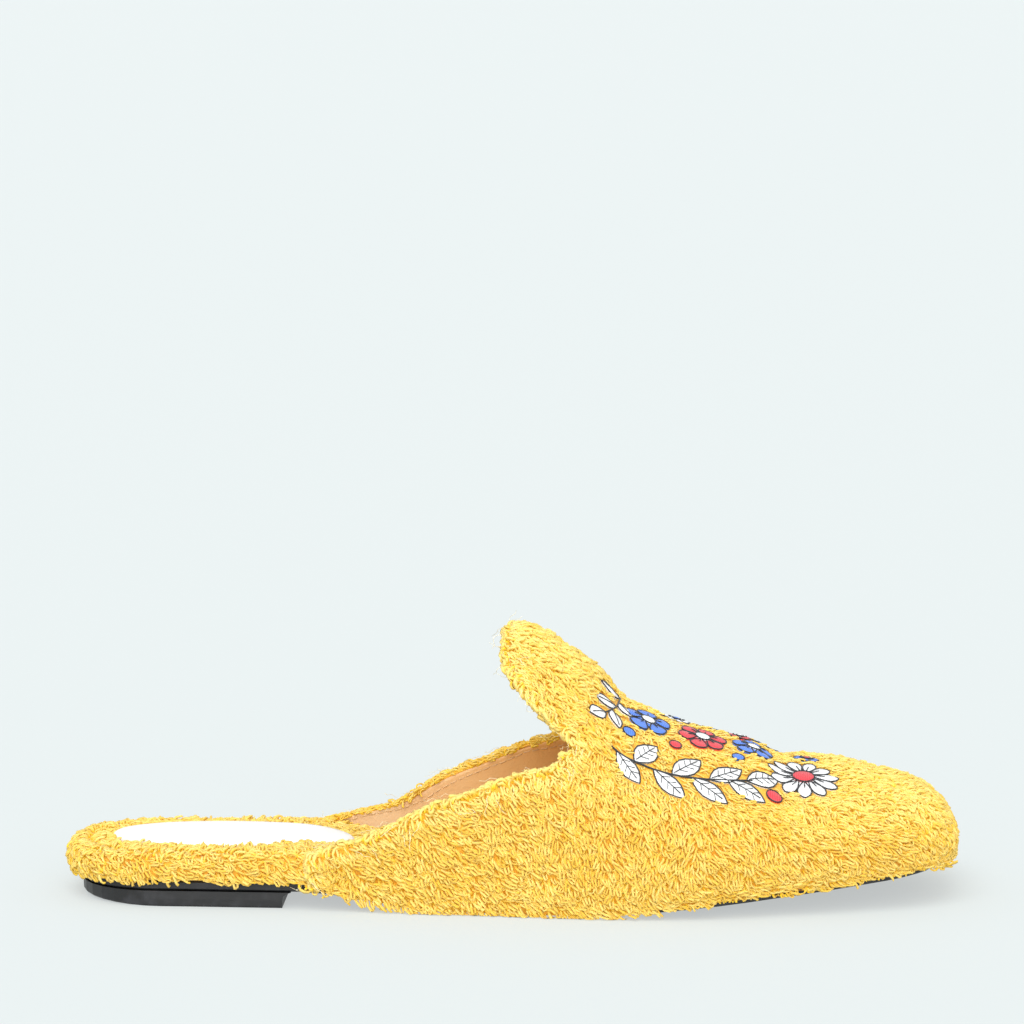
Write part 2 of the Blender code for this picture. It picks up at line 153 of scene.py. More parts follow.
def ease(value: Any) -> np.ndarray:
    """Soft step from 0 to 1 for a value that runs from 0 to 1."""
    t = np.clip(value, 0.0, 1.0)
    return t * t * (3 - 2 * t)


def unit(vectors: np.ndarray) -> np.ndarray:
    """The vectors brought to length one."""
    return vectors / np.maximum(np.linalg.norm(vectors, axis=-1, keepdims=True), 1e-12)


@dataclass
class Last:
    """The last that the shoe is made on, and the lines that the shoemaker draws on it."""

    length: float = 0.2582
    ball: float = 0.0805
    heel_round: float = 0.0270
    toe_corner: float = 0.0175
    toe_flat: float = 0.0290
    toe_roll: float = 0.0140
    toe_bulge: float = 0.0022
    round_power: float = 2.2
    side_bulge: float = 0.20
    heel_lift: float = 0.0050
    sole_thickness: float = 0.0028
    breast_at: float = 0.0656
    tread_start: float = 0.1160
    tread_end: float = 0.1520
    toe_spring: float = 0.0102
    spring_power: float = 1.20
    pile_hang: float = 0.0007
    seam_at: float = 0.0731
    throat_at: float = 0.1481
    throat_height: float = 0.0480
    gap: float = 0.0003
    pad_start: float = 0.0085
    pad_length: float = 0.0755

    def __post_init__(self) -> None:
        """Draws the curves, and finds the last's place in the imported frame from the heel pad."""
        along, width, swing = PLAN
        self.width = SmoothCurve(along * self.length, width)
        self.swing = SmoothCurve(along * self.length, swing * self.ball)
        along, rise, fullness, ridge = SECTIONS
        self.rise = SmoothCurve(along * self.length, rise)
        self.fullness = SmoothCurve(along * self.length, fullness)
        self.ridge = SmoothCurve(along * self.length, ridge * self.ball)
        self.depth = SmoothCurve(*FOOTBED_DEPTH)
        self.pad_middle = self.pad_start + self.pad_length / 2
        low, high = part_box("heel_pad")
        self.origin = np.array([(low.x + high.x) / 2 - self.pad_middle, (low.y + high.y) / 2, 0.0])

    def outline(self, place: Any, side: Any, margin: Any) -> tuple[np.ndarray, np.ndarray]:
        """X and Y of the outline in plan at a place, for a side's sign, with a margin outside the last."""
        back = np.clip(1 - place / self.heel_round, 0, 1)
        front = np.clip((place - self.length + self.toe_corner) / self.toe_corner, 0, 1)
        flat = self.toe_flat / 2 + side * PLAN[2, -1] * self.ball
        reach = self.width(place) / 2 + side * self.swing(place)
        reach = np.where(front > 0, flat + (reach - flat) * np.sqrt(1 - front * front), reach)
        reach = (reach + margin) * (1 - back**self.round_power) ** (1 / self.round_power)
        return place - margin * back + margin * front, side * reach

    def feather(self, place: Any) -> np.ndarray:
        """Height at which the upper stands on the sole."""
        shank = np.clip((place - self.breast_at) / (self.tread_start - self.breast_at), 0, 1)
        spring = np.clip((place - self.tread_end) / (self.length - self.tread_end), 0, 1.1)
        under = self.heel_lift * (1 + np.cos(np.pi * shank)) / 2 + self.toe_spring * spring**self.spring_power
        return under + self.sole_thickness + self.gap

    def footbed_top(self, place: Any) -> np.ndarray:
        """Height of the footbed's top at a place."""
        return self.feather(place) + self.depth(place)

    def point(self, place: Any, turn: Any) -> np.ndarray:
        """Points on the last at a place, for a turn from 0 at the outer feather line to pi at the inner."""
        place, turn = np.broadcast_arrays(np.asarray(place, float), np.asarray(turn, float))
        roll = np.clip((place - self.length + self.toe_roll) / self.toe_roll, 0, 1)
        stand = (1 - roll**self.round_power) ** (1 / self.round_power)
        side = np.where(turn < np.pi / 2, -1.0, 1.0)
        across, up = np.abs(np.cos(turn)), np.clip(np.sin(turn), 0, 1)
        _, reach = self.outline(place, side, 0.0)
        power = 2 / self.fullness(place)
        height = stand * up**power
        swell = 1 + stand * self.side_bulge * 2 * up * np.sqrt(1 - np.minimum(up, 1) ** 2) ** 3
        y = reach * across**power * swell + self.ridge(place) * stand * up * up
        x = place + 4 * self.toe_bulge * roll * roll * height * (1 - height)
        hem = self.feather(place) - self.pile_hang
        return np.stack([x, y, hem + (self.rise(place) + self.pile_hang) * height], -1)

    def normal(self, place: Any, turn: Any) -> np.ndarray:
        """Outward directions at points on the last, measured over short steps that stay on it."""
        step, swing, low_turn = 0.0006, 0.01, 0.012
        place = np.minimum(np.asarray(place, float), self.length - 0.0002)
        turn = np.clip(np.asarray(turn, float), low_turn, np.pi - low_turn)
        ahead = np.minimum(place + step, self.length - 0.00005)
        along = self.point(ahead, turn) - self.point(place - step, turn)
        around = self.point(place, turn + swing) - self.point(place, turn - swing)
        return unit(np.cross(along, around))

    def edge_on_column(self, turn: float) -> float:
        """Place at which one column of the upper reaches the collar's edge."""
        places = np.arange(self.length - self.toe_roll, self.seam_at - 0.001, -self.length / 400)
        heights = self.point(places, turn)[:, 2]
        low = SmoothCurve(COLLAR[0], COLLAR[1 if turn < np.pi / 2 else 2])(heights)
        share = np.where(heights <= self.throat_height, low, SmoothCurve(*TONGUE)(heights))
        beyond = places - (self.seam_at + share * (self.throat_at - self.seam_at))
        first = int(np.argmax(beyond <= 0)) if np.any(beyond <= 0) else len(places) - 1
        if first == 0:
            return float(places[0])
        a, b = beyond[first - 1], beyond[first]
        return float(places[first - 1] + (places[first] - places[first - 1]) * a / (a - b))

    def throat_turn(self) -> float:
        """Turn of the column that runs to the corner between quarter and tongue."""
        turns = np.linspace(0.0, np.pi / 2, 2000)
        heights = self.point(self.throat_at, turns)[:, 2]
        return float(turns[np.argmax(heights >= self.throat_height)])

    def give(self, place: np.ndarray, turn: np.ndarray) -> np.ndarray:
        """How far the soft troughs and ridges move the surface outwards."""
        moved = np.zeros(np.shape(place))
        at = np.stack([place / MM, turn * CREASE_MM_ROUND], -1)
        for along_a, turn_a, along_b, turn_b, half_width, depth in CREASES:
            a = np.array([along_a, math.radians(turn_a) * CREASE_MM_ROUND])
            b = np.array([along_b, math.radians(turn_b) * CREASE_MM_ROUND])
            share = np.clip(((at - a) @ (b - a)) / ((b - a) @ (b - a)), 0, 1)
            away = np.linalg.norm(at - a - share[..., None] * (b - a), axis=-1)
            moved += depth * MM * np.exp(-((away / half_width) ** 2))
        return moved

    def bed(self, place: np.ndarray, turn: np.ndarray) -> np.ndarray:
        """One where the pile stands, falling to nought over the middle of the vamp."""
        along = (place - 0.716 * self.length) / (0.310 * self.ball)
        around = (np.degrees(turn) - 90) / 27.0
        return ease((np.hypot(along, around) - 1) / 0.42 + 0.5)


def hex_colour(code: str) -> tuple[float, float, float, float]:
    """Turns an sRGB hex colour into a linear one with full alpha."""
    shares = [int(code[i : i + 2], 16) / 255 for i in (1, 3, 5)]
    linear = [s / 12.92 if s <= 0.04045 else ((s + 0.055) / 1.055) ** 2.4 for s in shares]
    return (linear[0], linear[1], linear[2], 1.0)


class Graph:
    """A node tree in the making: each method adds one node and gives back the output that is used."""

    def __init__(self, tree: bpy.types.NodeTree) -> None:
        """Takes the tree that the nodes go into."""
        self.tree = tree

    def feed(self, node: bpy.types.Node, inputs: dict[Any, Any]) -> None:
        """Gives a node its values and links, by the names or numbers of its inputs."""
        for key, value in inputs.items():
            if isinstance(value, bpy.types.NodeSocket):
                self.tree.links.new(value, node.inputs[key])
            else:
                node.inputs[key].default_value = value

    def add(self, kind: str, inputs: dict[Any, Any] | None = None, out: Any = 0, **settings: Any) -> Any:
        """Adds a node with its settings; gives back one output, or the node itself where out is None."""
        node = self.tree.nodes.new(kind)
        for name, value in settings.items():
            setattr(node, name, value)
        self.feed(node, inputs or {})
        return node if out is None else node.outputs[out]

    def math(self, operation: str, *values: Any) -> Any:
        """One sum on values or sockets."""
        return self.add("ShaderNodeMath", dict(enumerate(values)), operation=operation)

    def remap(self, value: Any, low: float, high: float, to_low: float = 0.0, to_high: float = 1.0) -> Any:
        """A value taken from one range to another, held at the ends."""
        ends = {"From Min": low, "From Max": high, "To Min": to_low, "To Max": to_high}
        return self.add("ShaderNodeMapRange", {"Value": value, **ends})

    def mix(self, share: Any, first: Any, second: Any) -> Any:
        """Blend of two colours, each a hex code or a socket."""
        codes = [hex_colour(colour) if isinstance(colour, str) else colour for colour in (first, second)]
        return self.add("ShaderNodeMix", {0: share, 6: codes[0], 7: codes[1]}, 2, data_type="RGBA")

    def place(self) -> Any:
        """Object coordinates, in metres."""
        return self.add("ShaderNodeTexCoord", out="Object")

    def noise(self, place: Any, scale: float, detail: float = 2.0) -> Any:
        """Soft noise."""
        return self.add("ShaderNodeTexNoise", {"Vector": place, "Scale": scale, "Detail": detail})

    def wave(self, place: Any, scale: float, distortion: float, **settings: Any) -> Any:
        """Even bands."""
        inputs = {"Vector": place, "Scale": scale, "Distortion": distortion}
        return self.add("ShaderNodeTexWave", inputs, "Fac", **settings)

    def bump(self, height: Any, distance: float, strength: float = 1.0, **inputs: Any) -> Any:
        """Fine relief of a surface."""
        inputs |= {"Height": height, "Distance": distance, "Strength": strength}
        return self.add("ShaderNodeBump", inputs)

    def named(self, name: str, kind: str = "FLOAT") -> Any:
        """A value stored at each point of a mesh, in a Geometry Nodes tree."""
        return self.add("GeometryNodeInputNamedAttribute", {"Name": name}, "Attribute", data_type=kind)

    def chance(self, low: float, high: float, seed: int) -> Any:
        """A random number for each point."""
        return self.add("FunctionNodeRandomValue", {2: low, 3: high, "Seed": seed}, 1, data_type="FLOAT")

    def align(self, vector: Any, axis: str, **inputs: Any) -> Any:
        """A rotation that turns an axis to a vector; where one is given, it is turned about its own Z."""
        settings = {"axis": axis, "pivot_axis": "Z"} if inputs else {"axis": axis}
        return self.add("FunctionNodeAlignRotationToVector", {"Vector": vector, **inputs}, **settings)

    def spin(self, rotation: Any, axis: tuple[float, float, float], angle: Any) -> Any:
        """A rotation turned further about its own axis."""
        turn = self.add("FunctionNodeAxisAngleToRotation", {0: axis, 1: angle})
        return self.add("FunctionNodeRotateRotation", {0: rotation, 1: turn}, rotation_space="LOCAL")


def new_material(name: str, values: dict[str, Any]) -> tuple[bpy.types.Material, Graph, bpy.types.Node]:
    """Makes a material with its shader's even values, and gives back its graph and shader too."""
    material = bpy.data.materials.new(name)
    material.use_nodes = True
    graph, shader = Graph(material.node_tree), material.node_tree.nodes["Principled BSDF"]
    graph.feed(shader, values)
    return material, graph, shader


def terry_yarn(name: str, foot: str, top: str, worn: str) -> bpy.types.Material:
    """Cotton looped yarn, dyed in the hank: matt, soft-edged, lighter at the loop's top than at its foot,
    where it is painted deeper as shade and carries a painted glow.
    """
    material, graph, shader = new_material(name, {
        "Roughness": 0.92, "Specular IOR Level": 0.15, "Sheen Weight": 0.35, "Sheen Roughness": 0.45,
        # the emission colour is that of the painted glow in the pile
        "Sheen Tint": hex_colour("#FFE9A8"), "Emission Color": hex_colour("#DCC420"),
    })
    material.cycles.emission_sampling = "NONE"
    rise, tone = (
        graph.add("ShaderNodeAttribute", out="Fac", attribute_name=each) for each in ("rise", "tone")
    )
    # drifts of lighter and deeper dye about 14 mm across
    light = graph.math("MULTIPLY_ADD", graph.noise(graph.place(), 70.0), 0.9, tone)
    # the tip goes to the paler colour with each tuft's random tone, and also with the paler rim and the
    # painted highlight carried in the same attribute
    tip = graph.mix(graph.remap(light, 0.35, 1.75), top, worn)
    # the two plies turn about each other once in 0.9 mm; the UV map is in millimetres
    along = graph.add("ShaderNodeUVMap", uv_map="yarn")
    twist = graph.wave(along, 0.35, 0.0, bands_direction="DIAGONAL")
    graph.feed(shader, {
        # painted shade: the loop's foot is deeper in colour, up to its full colour at the top
        "Base Color": graph.mix(rise, foot, tip),
        # painted glow, standing in for light that the loose fibres pass on down into the pile, strongest at
        # the foot
        "Emission Strength": graph.remap(rise, 0.0, 1.0, 0.62, 0.07),
        "Normal": graph.bump(twist, 0.00012, 0.5),
    })
    return material


def ground_cloth() -> bpy.types.Material:
    """Woven cotton base of the terry: matt, deeper in colour, with a small knot every 1.2 mm."""
    material, graph, shader = new_material("terry_ground_cloth", {"Roughness": 0.95, "Sheen Weight": 0.15})
    knots = graph.add("ShaderNodeTexVoronoi", {"Vector": graph.place(), "Scale": 800.0}, "Distance")
    bump = graph.bump(knots, 0.0004)
    bump.node.invert = True
    # painted shade: the cloth is deeper in colour away from each knot's middle, in the hollows of the weave
    graph.feed(shader, {"Base Color": graph.mix(knots, "#F9C650", "#EAA934"), "Normal": bump})
    return material


def grained_leather(
    name: str, colour: str, shade: str, roughness: float, grain_mm: float, depth: float, front: str = ""
) -> bpy.types.Material:
    """Finished leather, drum-dyed and plated: a fine closed grain, a soft sheen and faint clouding.

    Where a front colour is given, it takes over from the instep to the toe as painted light, which lifts the
    shade inside the toe.
    """
    material, graph, shader = new_material(name, {"Roughness": roughness, "Specular IOR Level": 0.4})
    place = graph.place()
    # clouding of the dye about 20 mm across, with finer mottle in it
    cloud = graph.remap(graph.noise(place, 50.0, 4.0), 0.35, 0.65, 0.0, 0.5)
    dyed = graph.mix(cloud, colour, shade)
    if front:
        # painted light: towards the toe the dye goes to the lighter front colour, against the shade inside
        # the shoe
        along = graph.add("ShaderNodeSeparateXYZ", {0: place})
        dyed = graph.mix(graph.remap(along, -0.040, 0.008), dyed, front)
    inputs = {"Vector": place, "Scale": 1.0 / (grain_mm * MM), "Smoothness": 0.6}
    grain = graph.add("ShaderNodeTexVoronoi", inputs, "Distance", feature="SMOOTH_F1")
    bump = graph.bump(graph.math("MULTIPLY_ADD", graph.noise(place, 2500.0), 0.3, grain), depth, 0.6)
    bump.node.invert = True
    graph.feed(shader, {"Base Color": dyed, "Normal": bump})
    return material


def moulded_rubber() -> bpy.types.Material:
    """Black rubber, pressed in a sand-blasted mould: satin, faintly scuffed, with a ribbed tread below."""
    rib_mm = 3.0
    values = {"Specular IOR Level": 0.5, "IOR": 1.52}
    material, graph, shader = new_material("black_moulded_rubber", values)
    place = graph.place()
    scuffs = graph.noise(place, 180.0, 6.0)
    # sand-blasted skin 0.35 mm across
    skin = graph.bump(graph.noise(place, 2800.0), 0.00008, 0.35)
    # the tread shows only where a face looks down
    normal = graph.add("ShaderNodeNewGeometry", out="Normal")
    down = graph.add(
        "ShaderNodeVectorMath", {0: normal, 1: (0.0, 0.0, -1.0)}, "Value", operation="DOT_PRODUCT"
    )
    bands = {"bands_direction": "X", "wave_profile": "TRI"}
    ribs = graph.wave(place, ONE_WAVE / (rib_mm * MM), 0.0, **bands)
    tread = graph.math("MULTIPLY", ribs, graph.remap(down, 0.8, 0.95))
    graph.feed(shader, {
        "Base Color": graph.mix(graph.remap(scuffs, 0.5, 0.75), "#141416", "#2C2C30"),
        "Roughness": graph.remap(scuffs, 0.0, 1.0, 0.36, 0.58),
        "Normal": graph.bump(tread, 0.0006, Normal=skin),
    })
    return material


def embroidery_thread(name: str, colour: str, shade: str, row_mm: float = 0.55) -> bpy.types.Material:
    """Rayon thread in satin stitch, a little glossy, in rows that follow the patch's UV map in mm.

    A real row is 0.25 mm; it is drawn at about twice that, so that it shows.
    """
    values = {"Roughness": 0.45, "Sheen Weight": 0.2, "Specular IOR Level": 0.5}
    material, graph, shader = new_material(name, values)
    along = graph.add("ShaderNodeUVMap", uv_map="stitch")
    rows = graph.wave(along, ONE_WAVE / row_mm, 0.4, bands_direction="X")
    bump = graph.bump(rows, 0.00015, 0.7)
    graph.feed(shader, {"Base Color": graph.mix(rows, shade, colour), "Normal": bump})
    return material


def studio_paper() -> bpy.types.Material:
    """Matt pale paper sweep, lit from behind as well, which takes the weight out of the shadows."""
    material, graph, shader = new_material("pale_studio_paper", {
        "Roughness": 0.9, "Specular IOR Level": 0.1, "Base Color": hex_colour("#8A9191"),
        "Emission Color": hex_colour("#F2F6F6"), "Emission Strength": 0.55,
    })
    graph.feed(shader, {"Normal": graph.bump(graph.noise(graph.place(), 900.0), 0.0001, 0.05)})
    return material


def new_object(name: str, data: Any) -> bpy.types.Object:
    """Makes an object and links it to the scene."""
    obj = bpy.data.objects.new(name, data)
    bpy.context.scene.collection.objects.link(obj)
    return obj


def store(mesh: bpy.types.Mesh, name: str, values: np.ndarray) -> None:
    """Stores one number or one vector for each point of a mesh."""
    kind, key = ("FLOAT_VECTOR", "vector") if values.ndim == 2 else ("FLOAT", "value")
    attribute = mesh.attributes.new(name, kind, "POINT")
    attribute.data.foreach_set(key, values.astype(np.float32).ravel())


class Piece:
    """Points, faces and UV pairs gathered into one mesh."""

    def __init__(self, name: str) -> None:
        """Starts an empty piece under a plain name."""
        self.name = name
        self.points: list[np.ndarray] = []
        self.faces: list[tuple[int, ...]] = []
        self.uvs: list[np.ndarray] = []
        self.count = 0

    def add(self, points: np.ndarray, faces: Iterable[Sequence[int]], uvs: np.ndarray | None = None) -> None:
        """Adds points and the faces between them, with a UV pair for each point where there is a map."""
        flat = points.reshape(-1, 3)
        self.faces.extend(tuple(i + self.count for i in face) for face in faces)
        self.points.append(flat)
        self.uvs.append(np.zeros((len(flat), 2)) if uvs is None else uvs.reshape(-1, 2))
        self.count += len(flat)

    def build(
        self, material: bpy.types.Material | None = None, uv_name: str = "", closed: bool = False
    ) -> bpy.types.Object:
        """Makes the object; a closed one has its doubles merged and its faces turned outwards."""
        mesh = bpy.data.meshes.new(self.name)
        mesh.from_pydata(np.concatenate(self.points).tolist(), [], self.faces)
        if uv_name:
            corners = np.zeros(len(mesh.loops), np.int32)
            mesh.loops.foreach_get("vertex_index", corners)
            uvs = np.concatenate(self.uvs)[corners].astype(np.float32)
            mesh.uv_layers.new(name=uv_name).data.foreach_set("uv", uvs.ravel())
        if material:
            mesh.materials.append(material)
        mesh.shade_smooth()
        obj = new_object(self.name, mesh)
        if closed:
            shape = bmesh.new()
            shape.from_mesh(mesh)
            bmesh.ops.remove_doubles(shape, verts=shape.verts, dist=1e-6)
            bmesh.ops.recalc_face_normals(shape, faces=shape.faces)
            shape.to_mesh(mesh)
            shape.free()
        return obj


def grid_faces(rows: int, columns: int, closed: bool = False) -> list[tuple[int, int, int, int]]:
    """Quads of a grid that is stored row by row; in a closed one each row runs round to its start."""
    faces = []
    for r in range(rows - 1):
        for c in range(columns if closed else columns - 1):
            d = (c + 1) % columns
            faces.append((r * columns + c, r * columns + d, (r + 1) * columns + d, (r + 1) * columns + c))
    return faces


def tube(points: np.ndarray, radii: Any, sides: int, closed: bool = False) -> tuple[np.ndarray, list[tuple]]:
    """Points and faces of a round cord along points, capped where it is open."""
    count = len(points)
    if closed:
        ahead = unit(np.roll(points, -1, 0) - np.roll(points, 1, 0))
    else:
        ahead = unit(np.gradient(points, axis=0))
    side = np.cross(ahead[0], [0.13, 0.27, 0.95])
    across = []
    for direction in ahead:
        side = side - direction * (side @ direction)
        side = side / np.linalg.norm(side)
        across.append(side)
    aside = np.array(across)
    over = np.cross(ahead, aside)
    turns = 2 * np.pi * np.arange(sides) / sides
    radius = np.broadcast_to(np.asarray(radii, float), (count,))[:, None, None]
    around = np.cos(turns)[None, :, None] * aside[:, None] + np.sin(turns)[None, :, None] * over[:, None]
    made = points[:, None] + radius * around
    faces = [face[::-1] for face in grid_faces(count, sides, True)]
    last = (count - 1) * sides
    if closed:
        faces += [(s, (s + 1) % sides, last + (s + 1) % sides, last + s) for s in range(sides)]
    else:
        faces += [tuple(range(sides)), tuple(reversed(range(last, count * sides)))]
    return made, faces


class UpperForm:
    """Grid of the upper over the last, from which lining, ground cloth and pile are laid in layers."""

    # Distances of the first rows from the collar, and rows round the toe's roll
    NEAR_ROWS = (0.0, 0.7, 1.4, 2.2, 3.1)
    ROLL_ROWS = 12

    def __init__(
        self, last: Last, quarter: int, tongue: int, rows: int, inset: float, skirt: SmoothCurve | None = None
    ) -> None:
        """Lays out the columns and the rows.

        Args:
            last: The last.
            quarter: Columns from the feather line to the throat's corner.
            tongue: Columns over the tongue.
            rows: Rows from the collar to the toe.
            inset: How far in from the collar's edge the first row lies.
            skirt: How far the sheet hangs down past the feather line, by place, or nothing for no skirt.
        """
        self.last = last
        corner = last.throat_turn()
        low = corner * np.arange(quarter) / quarter
        middle = corner + (np.pi - 2 * corner) * np.arange(tongue + 1) / tongue
        turns = np.concatenate([low, middle, np.pi - low[::-1]])
        edge = np.array([last.edge_on_column(turn) for turn in turns])
        rim = last.point(edge, turns)
        slant = np.linalg.norm(np.cross(unit(np.gradient(rim, axis=0)), [1.0, 0.0, 0.0]), axis=-1)
        slant = np.clip(np.convolve(np.pad(slant, 2, "edge"), np.ones(5) / 5, "valid"), 0.30, 1.0)
        # the edge is free only above the seam, and is inset only there
        start = edge + inset * ease((rim[:, 2] - 0.0165) / 0.005) / slant
        near = np.array(self.NEAR_ROWS) * MM
        band = start[None] + near[:-1, None] / slant[None]
        body_start, roll_start = start + near[-1] / slant, last.length - last.toe_roll
        body = body_start[None] + (roll_start - body_start)[None] * np.linspace(0, 1, rows)[:, None]
        roll = np.sin(np.pi / 2 * np.arange(1, self.ROLL_ROWS + 1) / self.ROLL_ROWS)
        ends = np.repeat((roll_start + last.toe_roll * roll)[:, None], len(turns), 1)
        self.place = np.concatenate([band, body, ends])
        self.turn = np.broadcast_to(turns, self.place.shape).copy()
        self.base = last.point(self.place, self.turn)
        self.normals = last.normal(self.place, self.turn)
        self.give = last.give(self.place, self.turn)
        if skirt is not None:
            self.add_skirt(skirt)

    def add_skirt(self, skirt: SmoothCurve) -> None:
        """Carries the sheet down over the sole's edge, round the toe and along both sides."""
        down = np.array([0.0, 0.0, -float(skirt(self.last.length))])
        level = unit(self.normals[-1:] * [1.0, 1.0, 0.0])
        self.base = np.concatenate([self.base, self.base[-1:] + down])
        self.normals = np.concatenate([self.normals, level])
        for name in ("place", "turn", "give"):
            grid = getattr(self, name)
            grid = np.concatenate([grid, grid[-1:]])
            setattr(self, name, np.concatenate([grid[:, :1], grid, grid[:, -1:]], 1))
        lowest = self.last.feather(self.place) - self.last.pile_hang - skirt(self.place)
        ends = []
        for c in (slice(0, 1), slice(-1, None)):
            dropped = self.base[:, c].copy()
            dropped[..., 2] = np.minimum(dropped[..., 2], lowest[:, c])
            ends.append(dropped)
        self.base = np.concatenate([ends[0], self.base, ends[1]], 1)
        facing = unit(self.normals * [1.0, 1.0, 0.0])
        self.normals = np.concatenate([facing[:, :1], self.normals, facing[:, -1:]], 1)

    def layer(self, offset: Any) -> np.ndarray:
        """Grid of points at an offset outside the last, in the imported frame."""
        lift = np.asarray(offset, float) + self.give
        return self.base + self.normals * lift[..., None] + self.last.origin

    def sheet(self, name: str, material: bpy.types.Material, inner: Any, outer: float, lip: float) -> Any:
        """Makes a closed sheet between two offsets, with a rounded lip that stands out at the collar."""
        outside, inside = self.layer(outer), self.layer(inner)
        towards = unit(outside[0] - outside[1])
        lips = [
            outside[0] * (1 - share) + inside[0] * share + towards * lip * reach
            for share, reach in ((0.15, 0.75), (0.5, 1.0), (0.85, 0.75))
        ]
        rows = np.concatenate([outside[::-1], np.array(lips), inside])
        count, columns = rows.shape[:2]
        last = (count - 1) * columns
        faces: list[tuple[int, ...]] = list(grid_faces(count, columns))
        faces += [(last + c, last + c + 1, c + 1, c) for c in range(columns - 1)]
        for c, turned in ((0, False), (columns - 1, True)):
            for r in range(count // 2):
                a, b = r * columns + c, (r + 1) * columns + c
                e, f = (count - 1 - r) * columns + c, (count - 2 - r) * columns + c
                face = (a, b, f, e) if b != f else (a, b, e)
                faces.append(face[::-1] if turned else face)
        piece = Piece(name)
        piece.add(rows, faces)
        return piece.build(material, closed=True)


def dress(obj: bpy.types.Object, slot: str, *nodes: str) -> bpy.types.Object:
    """Lets a piece ride on the shoe, hides the nodes that it stands for, and reports it."""
    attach(obj, "root")
    if nodes:
        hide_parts(*nodes)
    LOG.info("%s: %d faces", obj.name, len(obj.data.polygons))
    return obj


def new_tree(name: str, inputs: dict[str, str]) -> tuple[Graph, Any]:
    """Starts a Geometry Nodes tree with its inputs by kind of socket, and gives back the inputs too."""
    tree = bpy.data.node_groups.new(name, "GeometryNodeTree")
    for key, kind in {"Geometry": "Geometry", **inputs}.items():
        tree.interface.new_socket(key, in_out="INPUT", socket_type=f"NodeSocket{kind}")
    tree.interface.new_socket("Geometry", in_out="OUTPUT", socket_type="NodeSocketGeometry")
    return Graph(tree), tree.nodes.new("NodeGroupInput").outputs


def bake_tree(
    carrier: bpy.types.Object, tree: bpy.types.NodeTree, settings: dict[str, Any], name: str
) -> bpy.types.Object:
    """Runs a tree on a carrier, turns the result into a plain mesh and throws the carrier away."""
    modifier = carrier.modifiers.new("tree", "NODES")
    modifier.node_group = tree
    for item in tree.interface.items_tree:
        if item.in_out == "INPUT" and item.name in settings:
            modifier[item.identifier] = settings[item.name]
    depsgraph = bpy.context.evaluated_depsgraph_get()
    mesh = bpy.data.meshes.new_from_object(
        carrier.evaluated_get(depsgraph), preserve_all_data_layers=True, depsgraph=depsgraph
    )
    mesh.name = name
    bpy.data.objects.remove(carrier)
    return new_object(name, mesh)


class LoopShape(NamedTuple):
    """One looped tuft, in millimetres: reach along the nap, height, gap between its legs, bend and sag."""

    reach: float
    height: float
    legs: float
    bend: float
    sag: float = 0.0
    free: bool = False


# Tufts with no gap between legs are single arches, whose far foot goes back into the ground
LOOP_SHAPES = (
    LoopShape(3.2, 1.55, 1.02, 0.35),
    LoopShape(2.8, 1.75, 1.08, -0.55, 0.3),
    LoopShape(3.4, 1.40, 1.00, 0.70, -0.3),
    LoopShape(2.3, 1.55, 1.50, -0.20, 0.4),
    LoopShape(3.4, 1.50, 0.0, 0.75),
    LoopShape(3.0, 1.70, 0.0, -0.80),
    LoopShape(3.7, 1.30, 0.0, 0.30),
)

# Single fibres that have worked loose
STRAY_SHAPES = (
    LoopShape(6.0, 2.6, 0.0, 2.4, free=True),
    LoopShape(4.6, 3.2, 0.0, -2.8, free=True),
    LoopShape(7.2, 2.2, 0.0, -1.4, free=True),
)

# Stretches of the upper's pile that become one piece each: places over the first and up to the second,
# turns in degrees from the third to below the fourth
REGIONS = (
    ("toe_pile_outer", 0.212, 1.0, 0, 90),
    ("toe_pile_inner", 0.212, 1.0, 90, 181),
    ("vamp_pile_outer", 0.150, 0.212, 0, 90),
    ("vamp_pile_inner", 0.150, 0.212, 90, 181),
    ("quarter_pile_outer", 0.0, 0.150, 0, 50),
    ("quarter_pile_inner", 0.0, 0.150, 130, 181),
    ("tongue_pile", 0.0, 0.150, 50, 130),
)


